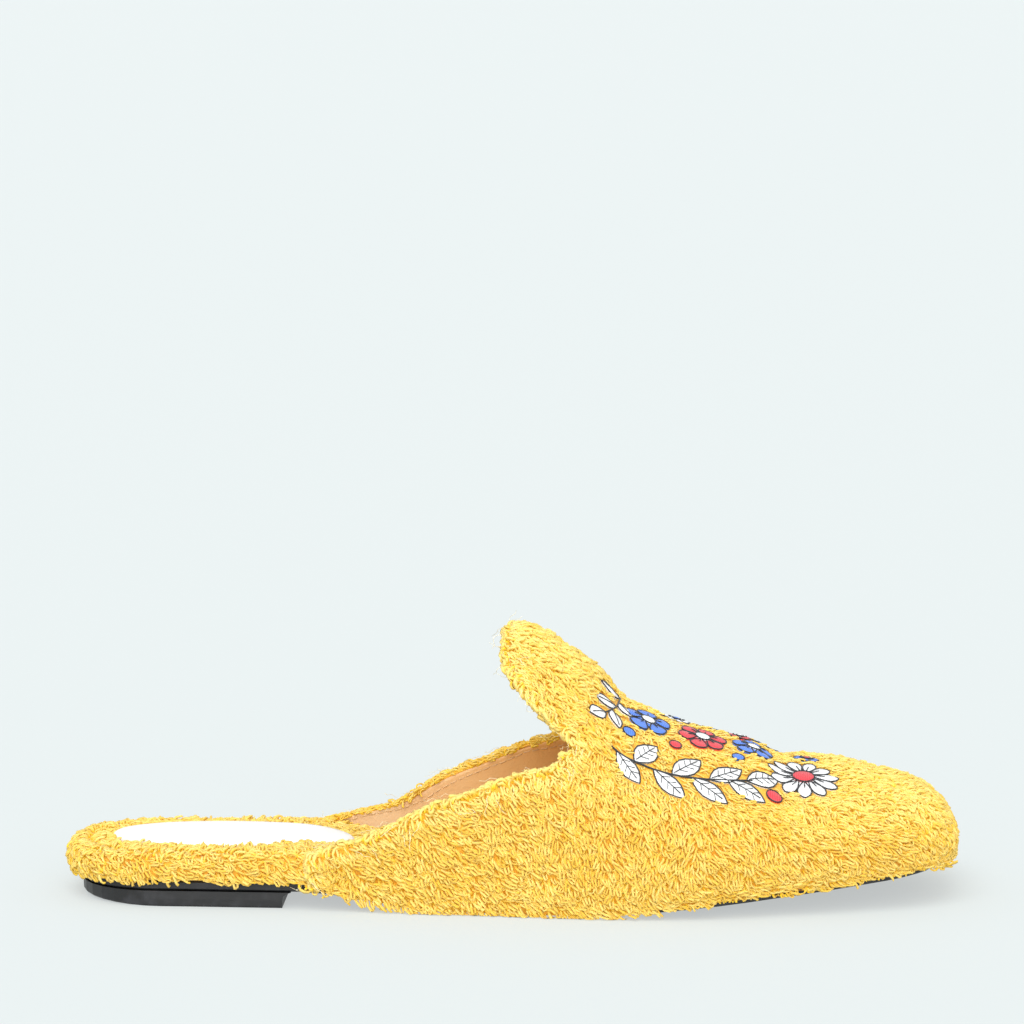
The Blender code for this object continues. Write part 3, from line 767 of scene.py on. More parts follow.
@dataclass
class TerryPile:
    """Looped pile, scattered over a carrier sheet by a Geometry Nodes tree."""

    yarn: bpy.types.Material
    yarn_radius: float = 0.00042
    density: float = 1500000.0
    spacing: float = 0.00073
    shapes: tuple[LoopShape, ...] = LOOP_SHAPES
    seed: int = 7
    floor: float = 0.00025
    clearance: float = 0.0010

    def __post_init__(self) -> None:
        """Makes the loop shapes and the tree."""
        self.loops = bpy.data.collections.new("loop_shapes")
        for number, shape in enumerate(self.shapes):
            self.loops.objects.link(self.make_loop(f"loop_{number}", shape))
        self.tree = self.make_tree()

    def make_loop(self, name: str, shape: LoopShape) -> bpy.types.Object:
        """Makes one tuft with its rise and a UV map in mm: up, over along the nap, and back or down."""
        if shape.legs > 0:
            out = np.array([0.0, 0.08, 0.48, 0.90, 1.0, 0.90, 0.46, 0.12])
            up = np.array([-0.25, 0.55, 1.0, 0.84, 0.70, 0.72, 0.84, -0.25])
            side = np.array([-0.5, -0.5, -0.52, -0.44, 0.0, 0.46, 0.52, 0.45]) * shape.legs
            up[5:7] -= 0.12 * shape.sag
        elif shape.free:
            out = np.array([0.0, 0.10, 0.30, 0.55, 0.80, 1.0])
            up = np.array([-0.15, 0.45, 0.85, 1.0, 0.80, 0.92])
            side = np.array([0.0, 0.1, -0.2, 0.3, -0.1, 0.4])
        else:
            out = np.array([0.0, 0.05, 0.28, 0.58, 0.86, 1.0, 1.02])
            up = np.array([-0.25, 0.42, 0.95, 1.0, 0.70, 0.25, -0.15])
            side = np.zeros(7)
        points = np.stack([shape.reach * out, side + shape.bend * out**2, shape.height * up], -1) * MM
        made, faces = tube(points, self.yarn_radius * (0.86 + 0.24 * np.clip(up, 0, 1)), 3)
        steps = np.linalg.norm(np.diff(points, axis=0), axis=1)
        length = np.concatenate([[0.0], np.cumsum(steps)]) / MM
        uvs = np.stack(np.broadcast_arrays(length[:, None], np.arange(3)[None] * 0.85), -1)
        piece = Piece(name)
        piece.add(made, faces, uvs)
        obj = piece.build(self.yarn, "yarn")
        bpy.context.scene.collection.objects.unlink(obj)
        # the painted shade and painted glow at the yarn's foot fade out by 1.25 mm over the ground, where it
        # has its full colour
        store(obj.data, "rise", np.clip(made[..., 2].ravel() / MM / 1.25, 0, 1))
        return obj

    def make_tree(self) -> bpy.types.NodeTree:
        """Builds the tree that stands the tufts on a carrier, laid along its nap."""
        graph, given = new_tree("terry_pile", {
            "Loops": "Collection", "Last shape": "Int", "Seed": "Int", "Density": "Float",
            "Spacing": "Float", "Swirl": "Float", "Floor": "Float", "Clear of": "Object",
            "Clearance": "Float", "Yarn": "Material",
        })
        scatter = graph.add("GeometryNodeDistributePointsOnFaces", {
            "Mesh": given["Geometry"], "Distance Min": given["Spacing"], "Density Max": given["Density"],
            "Seed": given["Seed"],
        }, None, distribute_method="POISSON").outputs
        nap = graph.named("nap", "FLOAT_VECTOR")
        where = graph.add("GeometryNodeInputPosition")
        # a tuft is in the way if its middle is, which lies about 1.4 mm along the nap from its foot
        reach = (0.0014, 0.0014, 0.0014)
        middle = graph.add("ShaderNodeVectorMath", {0: nap, 1: reach, 2: where}, operation="MULTIPLY_ADD")
        other = graph.add("GeometryNodeObjectInfo", {"Object": given["Clear of"]}, "Geometry")
        near = graph.add("GeometryNodeProximity", {0: other, 2: middle}, None, target_element="FACES").outputs
        limits = {0: near["Distance"], 1: given["Clearance"]}
        close = graph.add("FunctionNodeCompare", limits, operation="LESS_THAN")
        there = graph.add("FunctionNodeBooleanMath", {0: close, 1: near["Is Valid"]}, operation="AND")
        chosen = {"Geometry": scatter["Points"], "Selection": there}
        kept = graph.add("GeometryNodeDeleteGeometry", chosen, domain="POINT")
        laid = graph.align(nap, "X", Rotation=graph.align(scatter["Normal"], "Z"))
        # clumps of about 8 mm swirl together, and each tuft strays a little on its own
        clump = graph.math("SUBTRACT", graph.noise(where, 120.0, 1.5), 0.5)
        swirl = graph.math("MULTIPLY", clump, given["Swirl"])
        turned = graph.spin(laid, (0.0, 0.0, 1.0), graph.math("ADD", swirl, graph.chance(-0.5, 0.5, 11)))
        tilted = graph.spin(turned, (0.0, 1.0, 0.0), graph.chance(-0.34, 0.22, 5))
        # lower pile is shorter too, but less so
        pile, size = graph.named("pile"), graph.chance(0.80, 1.14, 3)
        long = graph.math("MULTIPLY", graph.remap(pile, 0.0, 1.0, 0.62, 1.0), size)
        high = graph.math("MULTIPLY", pile, size)
        tufts = graph.add("GeometryNodeInstanceOnPoints", {
            "Points": kept,
            "Instance": graph.add("GeometryNodeCollectionInfo", {
                "Collection": given["Loops"], "Separate Children": True, "Reset Children": True,
            }),
            "Pick Instance": True,
            "Instance Index": graph.add(
                "FunctionNodeRandomValue", {4: 0, 5: given["Last shape"], "Seed": 17}, 2, data_type="INT"
            ),
            "Rotation": tilted,
            "Scale": graph.add("ShaderNodeCombineXYZ", {0: long, 1: size, 2: high}),
        })
        # each tuft's random tone, plus the paler rim and the painted highlight from above
        tone = graph.math("ADD", graph.chance(0.0, 1.0, 23), graph.named("pale"))
        stored = {"Geometry": tufts, "Name": "tone", "Value": tone}
        toned = graph.add("GeometryNodeStoreNamedAttribute", stored, data_type="FLOAT", domain="INSTANCE")
        real = graph.add("GeometryNodeRealizeInstances", {0: toned})
        # yarn that would go through the floor lies on it
        x, y, z = graph.add("ShaderNodeSeparateXYZ", {0: where}, None).outputs
        held = graph.add("ShaderNodeCombineXYZ", {0: x, 1: y, 2: graph.math("MAXIMUM", z, given["Floor"])})
        rested = graph.add("GeometryNodeSetPosition", {"Geometry": real, "Position": held})
        done = graph.add("GeometryNodeSetMaterial", {"Geometry": rested, "Material": given["Yarn"]})
        graph.add("NodeGroupOutput", {"Geometry": done}, None)
        return graph.tree

    def grow(
        self,
        name: str,
        points: np.ndarray,
        quads: np.ndarray,
        values: dict[str, np.ndarray],
        clear_of: bpy.types.Object | None = None,
        swirl: float = 3.2,
        spread: float = 1.0,
    ) -> bpy.types.Object:
        """Grows pile on some of a grid's quads, as one plain mesh.

        Args:
            name: The new piece's name.
            points: The grid's points.
            quads: The quads that the pile stands on.
            values: The pile's nap, height, and paleness with painted highlight at each point.
            clear_of: Embroidery that the pile keeps clear of.
            swirl: How far clumps turn from the nap, in radians from end to end.
            spread: Distance between tufts, as a share of the usual one.
        """
        used, renumbered = np.unique(quads, return_inverse=True)
        piece = Piece(name)
        piece.add(points.reshape(-1, 3)[used], renumbered.reshape(quads.shape).tolist())
        carrier = piece.build()
        for key, value in values.items():
            store(carrier.data, key, value.reshape(-1, 3)[used] if key == "nap" else value.ravel()[used])
        settings = {
            "Loops": self.loops, "Density": self.density, "Spacing": self.spacing * spread, "Swirl": swirl,
            "Floor": self.floor, "Clear of": clear_of, "Clearance": self.clearance,
            "Last shape": len(self.shapes) - 1, "Seed": self.seed, "Yarn": self.yarn,
        }
        return bake_tree(carrier, self.tree, settings, name)

    def clear(self) -> None:
        """Takes the loop shapes out of the file once all pile has grown."""
        for obj in list(self.loops.objects):
            bpy.data.objects.remove(obj)
        bpy.data.collections.remove(self.loops)


def sew_row(name: str, thread: bpy.types.Material, line: np.ndarray, facing: np.ndarray) -> bpy.types.Object:
    """Sews a row of lockstitch along a line, with the direction out of the leather at each point."""
    length, gap, radius, sides = 0.0021, 0.0006, 0.00015, 5
    share = np.linspace(-1, 1, 6)
    # each stitch is sunk at both ends, and has a UV map in millimetres
    points = np.stack([share * length / 2, share * 0, (0.7 - share**2) * radius * 1.4], -1)
    around = np.arange(sides) * 2 * math.pi * radius / sides / MM
    uvs = np.stack(np.broadcast_arrays((share * length / 2 / MM)[:, None], around), -1)
    piece = Piece("stitch")
    piece.add(*tube(points, radius, sides), uvs)
    stitch = piece.build(thread, "stitch")
    bpy.context.scene.collection.objects.unlink(stitch)

    graph, given = new_tree("edge_stitching", {"Stitch": "Object", "Pitch": "Float", "Thread": "Material"})
    curve = graph.add("GeometryNodeMeshToCurve", {"Mesh": given["Geometry"]})
    spaced = graph.add("GeometryNodeResampleCurve", {"Curve": curve, "Length": given["Pitch"]}, mode="LENGTH")
    upright = graph.align(graph.named("facing", "FLOAT_VECTOR"), "Z")
    laid = graph.align(graph.add("GeometryNodeInputTangent"), "X", Rotation=upright)
    shape = graph.add("GeometryNodeObjectInfo", {"Object": given["Stitch"]}, "Geometry")
    row = graph.add("GeometryNodeInstanceOnPoints", {"Points": spaced, "Instance": shape, "Rotation": laid})
    real = graph.add("GeometryNodeRealizeInstances", {0: row})
    done = graph.add("GeometryNodeSetMaterial", {"Geometry": real, "Material": given["Thread"]})
    graph.add("NodeGroupOutput", {"Geometry": done}, None)

    mesh = bpy.data.meshes.new("line")
    mesh.from_pydata(line.tolist(), [(i, i + 1) for i in range(len(line) - 1)], [])
    store(mesh, "facing", facing)
    settings = {"Stitch": stitch, "Pitch": length + gap, "Thread": thread}
    obj = bake_tree(new_object("line", mesh), graph.tree, settings, name)
    bpy.data.objects.remove(stitch)
    return obj


@dataclass
class PileSheet:
    """Grid that the upper's pile stands on, with the pile's nap, height, and paleness with painted highlight
    at each point.
    """

    points: np.ndarray
    values: dict[str, np.ndarray]
    place: np.ndarray
    turn: np.ndarray

    def grow(
        self, pile: TerryPile, fibres: TerryPile, embroidery: bpy.types.Object | None
    ) -> list[bpy.types.Object]:
        """Grows the upper's pile region by region, clear of the embroidery, and the loose fibres."""
        rows, columns = self.place.shape
        quads = np.array(grid_faces(rows, columns))[:, ::-1]
        at, round_at = self.place.ravel()[quads].mean(1), self.turn.ravel()[quads].mean(1)
        made = []
        for name, low, high, turn_low, turn_high in REGIONS:
            chosen = quads[(at > low) & (at <= high) & (round_at >= turn_low) & (round_at < turn_high)]
            made.append(pile.grow(name, self.points, chosen, self.values, embroidery))
        # the collar's first rows are tufted twice, so that the edge is full, and have the loose fibres
        edge_rows, loose_rows = 6, 5
        edge = quads[: edge_rows * (columns - 1)]
        loose = quads[: loose_rows * (columns - 1)]
        made.append(pile.grow("collar_pile", self.points, edge, self.values, embroidery))
        made.append(fibres.grow("loose_fibres", self.points, loose, self.values))
        return made


@dataclass
class Upper:
    """Vamp, tongue and quarters: leather lining, ground cloth and pile."""

    last: Last
    lining_thickness: float = 0.00085
    ground_inner: float = 0.0009
    ground_outer: float = 0.0020
    turn_in: float = 0.0004
    rim_inset: float = 0.0017
    skirt_places: tuple[float, ...] = (0.0731, 0.084, 0.150, 0.175, 0.200, 0.260)
    skirt_drops: tuple[float, ...] = (0.0, 0.0017, 0.0017, 0.0009, 0.0003, 0.0002)

    def build_lining(
        self, leather: bpy.types.Material, thread: bpy.types.Material
    ) -> tuple[bpy.types.Object, bpy.types.Object]:
        """Makes the lining, which ends under the cloth's turned-in edge, and sews its edge down."""
        form = UpperForm(self.last, 16, 30, 60, self.rim_inset + self.turn_in)
        lining = form.sheet("lining", leather, 0.0, self.lining_thickness, 0.0002)
        return lining, sew_row("lining_stitches", thread, form.layer(-0.00005)[2], -form.normals[2])

    def build_ground(self, cloth: bpy.types.Material) -> tuple[bpy.types.Object, UpperForm]:
        """Makes the ground cloth, whose edge is turned in over the lining's."""
        skirt = SmoothCurve(self.skirt_places, self.skirt_drops)
        form = UpperForm(self.last, 20, 40, 64, self.rim_inset, skirt)
        inner = np.full(form.place.shape, self.ground_inner)
        inner[:1] = 0.0
        return form.sheet("ground_cloth", cloth, inner, self.ground_outer, 0.0005), form

    def near_sole(self, form: UpperForm) -> np.ndarray:
        """One at the toe's feather line, falling to nought over the next 6 mm and behind the ball."""
        height = (form.base[..., 2] - self.last.feather(form.place)) / 0.006
        return ease(1 - height) * ease((form.place - 0.135) / 0.045)

    def nap(self, form: UpperForm) -> np.ndarray:
        """Direction in which the pile lies: down the sides, and towards the toe."""
        places = (0.075, 0.120, 0.150, 0.175, 0.195, 0.225, 0.258)
        lean = SmoothCurve(places, (1.1, 0.9, 0.35, 0.10, 0.5, 0.9, 0.8))
        low = self.near_sole(form)
        way = np.stack([lean(form.place) + 2.0 * low, np.zeros(form.place.shape), 0.7 * low - 1], -1)
        return unit(way - form.normals * np.sum(way * form.normals, -1, keepdims=True))

    def pressed(self, form: UpperForm, top: np.ndarray, embroidery: bpy.types.Object) -> np.ndarray:
        """How far the pile still stands beside the stitched patches, from 0.4 to all of it."""
        tree = KDTree(len(embroidery.data.vertices))
        for vertex in embroidery.data.vertices:
            tree.insert(vertex.co, vertex.index)
        tree.balance()
        away = np.full(form.place.shape, 1.0)
        for r, c in zip(*np.nonzero((form.place > 0.140) & (form.place < 0.240))):
            away[r, c] = tree.find(top[r, c])[2]
        return 0.40 + 0.60 * ease((away - 0.0012) / 0.0040)

    def lay_sheet(self, form: UpperForm, embroidery: bpy.types.Object) -> PileSheet:
        """Lays the grid that the pile stands on, with three rows more round the collar's edge."""
        top = form.layer(self.ground_outer)
        towards, facing = unit(top[0] - top[1]), form.normals[0]
        rim = np.stack([
            top[0] - towards * 0.0002 - facing * 0.0018,
            top[0] + towards * 0.0004 - facing * 0.0013,
            top[0] + towards * 0.0005 - facing * 0.0004,
        ])
        edgewise = unit(np.gradient(top[0], axis=0)) * np.where(form.turn[0] < np.pi / 2, -1.0, 1.0)[:, None]
        over = np.stack([
            unit(edgewise + 0.2 * towards),
            unit(0.6 * edgewise + 0.9 * towards),
            unit(0.4 * edgewise + 0.5 * facing + 1.2 * towards),
        ])
        bed = self.last.bed(form.place, form.turn)
        toe = 1 - 0.22 * ease((form.place - 0.222) / 0.02) * ease((form.base[..., 2] - 0.018) / 0.01)
        height = (0.66 + 0.34 * bed) * toe * self.pressed(form, top, embroidery)
        height = height * (1 - 0.28 * self.near_sole(form))
        # the pile has been brushed up over the edge on the outer side, and lies close on the inner
        brushed = 1 - ease((form.turn[:1] - 1.3) / 0.9)
        edge = np.array([[0.40], [0.45], [0.70]]) + np.array([[0.15], [0.45], [0.65]]) * brushed
        # the outer side's first rows are paler, and where the pile faces up it is painted paler as a
        # highlight from above
        row = np.arange(len(rim) + len(top))[:, None]
        upward = np.concatenate([np.repeat(form.normals[:1, :, 2], len(rim), 0), form.normals[..., 2]])
        pale = brushed * (1 - ease((row - 2.0) / 5.0)) + 0.42 * ease((upward - 0.45) / 0.5)
        place, turn = (
            np.concatenate([np.repeat(grid[:1], len(rim), 0), grid]) for grid in (form.place, form.turn)
        )
        nap, pile = np.concatenate([over, self.nap(form)]), np.concatenate([edge, height])
        values = {"nap": nap, "pile": pile, "pale": pale}
        return PileSheet(np.concatenate([rim, top]), values, place, np.degrees(turn))


class Thread(Enum):
    """The embroidery's threads, with the colours of their lit and shaded sides."""

    WHITE = ("#FBFBF9", "#DDDFE2")
    RED = ("#EC4650", "#C8303C")
    BLUE = ("#5C90F0", "#3F6CCB")
    BLACK = ("#20232F", "#101219")


def leaf_shape(share: np.ndarray) -> np.ndarray:
    """Half width of a leaf along its length, as a share of the widest."""
    return np.sin(np.pi * share) ** 0.9


def petal_shape(share: np.ndarray) -> np.ndarray:
    """Half width of a petal, narrow at its foot and round at its tip."""
    return np.sin(np.pi * share**1.6) ** 0.65


def disc_shape(share: np.ndarray) -> np.ndarray:
    """Half width of a round spot."""
    return np.sqrt(np.clip(1 - (2 * share - 1) ** 2, 0, 1))


class Chart:
    """Finds points of the upper by mm along the shoe and mm round from its ridge, outer side negative."""

    def __init__(self, last: Last, offset: float) -> None:
        """Measures the last's sections, each millimetre along; the offset is the cloth's outer face."""
        self.last, self.offset = last, offset
        self.places = np.linspace(0.135, 0.250, 116)
        self.turns = np.linspace(0.05, np.pi - 0.05, 181)
        grid = last.point(self.places[:, None], self.turns[None])
        steps = np.linalg.norm(np.diff(grid, axis=1), axis=-1)
        arc = np.concatenate([np.zeros((len(self.places), 1)), np.cumsum(steps, 1)], 1)
        ridge = len(self.turns) // 2
        self.arc = arc - arc[:, ridge : ridge + 1]

    def points(self, flat: np.ndarray, lift: Any) -> np.ndarray:
        """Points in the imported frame, from mm along and round and mm over the cloth."""
        place, across = flat[..., 0] * MM, flat[..., 1] * MM
        turn = np.empty(place.shape)
        for spot in np.ndindex(place.shape):
            at = float(np.clip((place[spot] - self.places[0]) / MM, 0, len(self.places) - 1.001))
            row, share = int(at), at - int(at)
            low, high = (np.interp(across[spot], self.arc[r], self.turns) for r in (row, row + 1))
            turn[spot] = low * (1 - share) + high * share
        out = self.offset + self.last.give(place, turn) + np.asarray(lift, float) * MM
        points = self.last.point(place, turn) + self.last.normal(place, turn) * out[..., None]
        return points + self.last.origin


# Middle in chart millimetres, reach, number of petals, threads of the petals and of the eye
FLOWERS = (
    (216.5, -15.5, 11.0, 11, Thread.WHITE, Thread.RED),
    (170.0, -9.6, 7.0, 5, Thread.BLUE, Thread.WHITE),
    (186.5, -8.8, 7.4, 6, Thread.RED, Thread.WHITE),
    (201.5, -6.0, 6.2, 5, Thread.BLUE, Thread.WHITE),
    (178.6, 4.2, 4.4, 8, Thread.WHITE, Thread.BLUE),
    (197.6, 4.8, 3.6, 5, Thread.RED, Thread.WHITE),
    (190.0, 14.5, 8.2, 10, Thread.WHITE, Thread.RED),
    (170.0, 13.0, 6.0, 6, Thread.RED, Thread.WHITE),
    (206.5, 12.0, 5.6, 5, Thread.BLUE, Thread.WHITE),
    (218.0, 3.0, 4.2, 6, Thread.BLUE, Thread.RED),
)
# Start and end of the stem in chart millimetres, its bow, number of leaves, their length and width
SPRAYS = (
    ((159.0, -31.0), (201.0, -26.5), -3.5, 8, 12.5, 6.4),
    ((161.5, -1.0), (157.0, -19.0), 1.2, 5, 7.6, 3.9),
    ((204.0, 24.5), (164.0, 28.0), -3.0, 8, 11.0, 5.6),
)
# Middle in chart millimetres, radius and thread
BUDS = (
    (207.5, -29.5, 2.4, Thread.RED),
    (164.5, -20.5, 1.9, Thread.BLUE),
    (197.0, -16.0, 1.8, Thread.BLUE),
    (178.5, -18.2, 1.8, Thread.RED),
    (161.5, 20.5, 1.8, Thread.BLUE),
    (208.5, 21.0, 2.0, Thread.RED),
)


def heading(angle: float) -> tuple[np.ndarray, np.ndarray]:
    """Directions ahead and aside for an angle in the chart."""
    ahead = np.array([math.cos(angle), math.sin(angle)])
    return ahead, np.array([-ahead[1], ahead[0]])


@dataclass
class Embroidery:
    """Flowers and leaf sprays in satin stitch on the vamp, with corded outlines; sizes in millimetres."""

    chart: Chart
    foot: float = -0.4
    low: float = 0.50
    puff: float = 0.50
    cord: float = 0.23
    vein: float = 0.15
    pieces: dict[Thread, Piece] = field(default_factory=dict)

    def __post_init__(self) -> None:
        """Starts one piece for each thread."""
        self.pieces = {thread: Piece(f"embroidery_{thread.name.lower()}") for thread in Thread}

    def patch(
        self,
        thread: Thread,
        start: Sequence[float] | np.ndarray,
        angle: float,
        length: float,
        width: float,
        shape: Callable[[np.ndarray], np.ndarray],
        raised: float = 0.0,
    ) -> None:
        """Lays one padded patch with its outline.

        Args:
            thread: The thread that it is filled with.
            start: Its foot, in chart millimetres.
            angle: Direction from foot to tip.
            length: Its length.
            width: Its greatest width.
            shape: Half width along its length.
            raised: Extra height.
        """
        base, (ahead, aside) = np.array(start, float), heading(angle)

        def place(share: np.ndarray, across: np.ndarray) -> np.ndarray:
            """Chart millimetres of shares along and across the patch."""
            return base + share[..., None] * length * ahead + across[..., None] * width / 2 * aside

        steps = (1 - np.cos(np.pi * np.linspace(0, 1, 9))) / 2
        across = np.sin(np.pi / 2 * np.linspace(-1, 1, 5))
        share, side = np.meshgrid(steps, across, indexing="ij")
        flat = place(share, side * shape(share))
        dome = np.sqrt(np.clip(1 - side**2, 0, 1)) * np.clip(shape(share), 0, 1)
        top = self.chart.points(flat, self.low + raised + self.puff * dome)
        bottom = self.chart.points(flat, self.foot)
        # the 45 points of the top come first, then those of the bottom; their edges are joined
        quads = grid_faces(9, 5)
        edge = [*range(5), *range(9, 45, 5), *range(43, 39, -1), *range(35, 0, -5)]
        faces = [(a, d, c, b) for a, b, c, d in quads]
        faces += [(a + 45, b + 45, c + 45, d + 45) for a, b, c, d in quads]
        faces += [(b, a, a + 45, b + 45) for a, b in zip(edge, edge[1:] + edge[:1])]
        stitch = np.stack([share * length, side * width / 2], -1)
        self.pieces[thread].add(np.stack([top, bottom]), faces, np.stack([stitch, stitch]))
        back = steps[-2:0:-1]
        rim = np.concatenate([place(steps, shape(steps)), place(back, -shape(back))])
        cord = tube(self.chart.points(rim, self.low + raised + 0.12), self.cord * MM, 4, True)
        self.pieces[Thread.BLACK].add(*cord)

    def line(self, spots: Sequence[np.ndarray], radius: float, lift: float) -> None:
        """Lays a thin black cord through chart points, at a height over the cloth."""
        marks = np.asarray(spots, float)
        fine = np.linspace(0, len(marks) - 1, 4 * (len(marks) - 1) + 1)
        smooth = np.stack([SmoothCurve(range(len(marks)), marks[:, axis])(fine) for axis in (0, 1)], -1)
        self.pieces[Thread.BLACK].add(*tube(self.chart.points(smooth, lift), radius * MM, 4))

    def disc(
        self, thread: Thread, middle: Sequence[float] | np.ndarray, radius: float, raised: float = 0.0
    ) -> None:
        """Lays a round patch."""
        start = (middle[0] - radius, middle[1])
        self.patch(thread, start, 0.0, 2 * radius, 2 * radius, disc_shape, raised)

    def flower(self, middle: np.ndarray, reach: float, petals: int, thread: Thread, eye: Thread) -> None:
        """Lays the ground, the petals with their veins, and the eye."""
        eye_radius = reach * 0.30
        width = 2 * math.pi * reach * 0.66 / petals * 1.02
        self.disc(thread, middle, reach * 0.52, -0.30)
        for number in range(petals):
            angle = 2 * math.pi * (number + 0.3) / petals
            ahead, _ = heading(angle)
            start = middle + ahead * eye_radius * 0.75
            self.patch(thread, start, angle, reach - eye_radius * 0.75, width, petal_shape)
            vein = [start + ahead * 0.9, start + ahead * (reach - eye_radius) * 0.55]
            self.line(vein, self.vein, self.low + self.puff + 0.06)
        self.disc(eye, middle, eye_radius, 0.35)

    def spray(
        self, start: np.ndarray, end: np.ndarray, bow: float, leaves: int, leaf: float, width: float
    ) -> None:
        """Lays the stem and its leaves, with their ribs where the leaves are large."""
        run = end - start
        angle = math.atan2(run[1], run[0])
        _, aside = heading(angle)
        stem = [start + run * t + aside * bow * math.sin(math.pi * t) for t in np.linspace(0, 1, 7)]
        self.line(stem, 0.30, self.low + 0.15)
        for number in range(leaves):
            t = 0.04 + 0.92 * number / (leaves - 1)
            foot = start + run * t + aside * bow * math.sin(math.pi * t)
            turned = angle + (0.95 if number % 2 else -0.95) * (1 - 0.55 * t)
            length = leaf * (0.86 + 0.14 * math.sin(math.pi * t))
            self.patch(Thread.WHITE, foot, turned, length, width, leaf_shape)
            ahead, over = heading(turned)
            vein = [foot + ahead * 0.8, foot + ahead * length * 0.86]
            self.line(vein, self.vein, self.low + self.puff + 0.06)
            for along in (0.26, 0.46, 0.64) if leaf > 8 else ():
                for way in (-1.0, 1.0):
                    rib = foot + ahead * length * along
                    tip = rib + ahead * length * 0.13 + over * way * width * 0.30
                    self.line([rib, tip], self.vein * 0.8, self.low + self.puff - 0.04)

    def build(self) -> list[bpy.types.Object]:
        """Lays every motif, and makes one object for each thread."""
        for along, across, *flower in FLOWERS:
            self.flower(np.array([along, across]), *flower)
        for start, end, *spray in SPRAYS:
            self.spray(np.array(start), np.array(end), *spray)
        for along, across, radius, thread in BUDS:
            self.disc(thread, (along, across), radius)
        made = []
        for thread, piece in self.pieces.items():
            rayon = embroidery_thread(f"rayon_thread_{thread.name.lower()}", *thread.value)
            made.append(piece.build(rayon, "stitch", closed=True))
        return made


def joined_copy(name: str, parts: Sequence[bpy.types.Object]) -> bpy.types.Object:
    """Makes one object with copies of several pieces' meshes, for measuring against."""
    piece = Piece(name)
    for part in parts:
        spots = np.zeros(len(part.data.vertices) * 3, np.float32)
        part.data.vertices.foreach_get("co", spots)
        piece.add(spots.reshape(-1, 3), [tuple(face.vertices) for face in part.data.polygons])
    return piece.build()


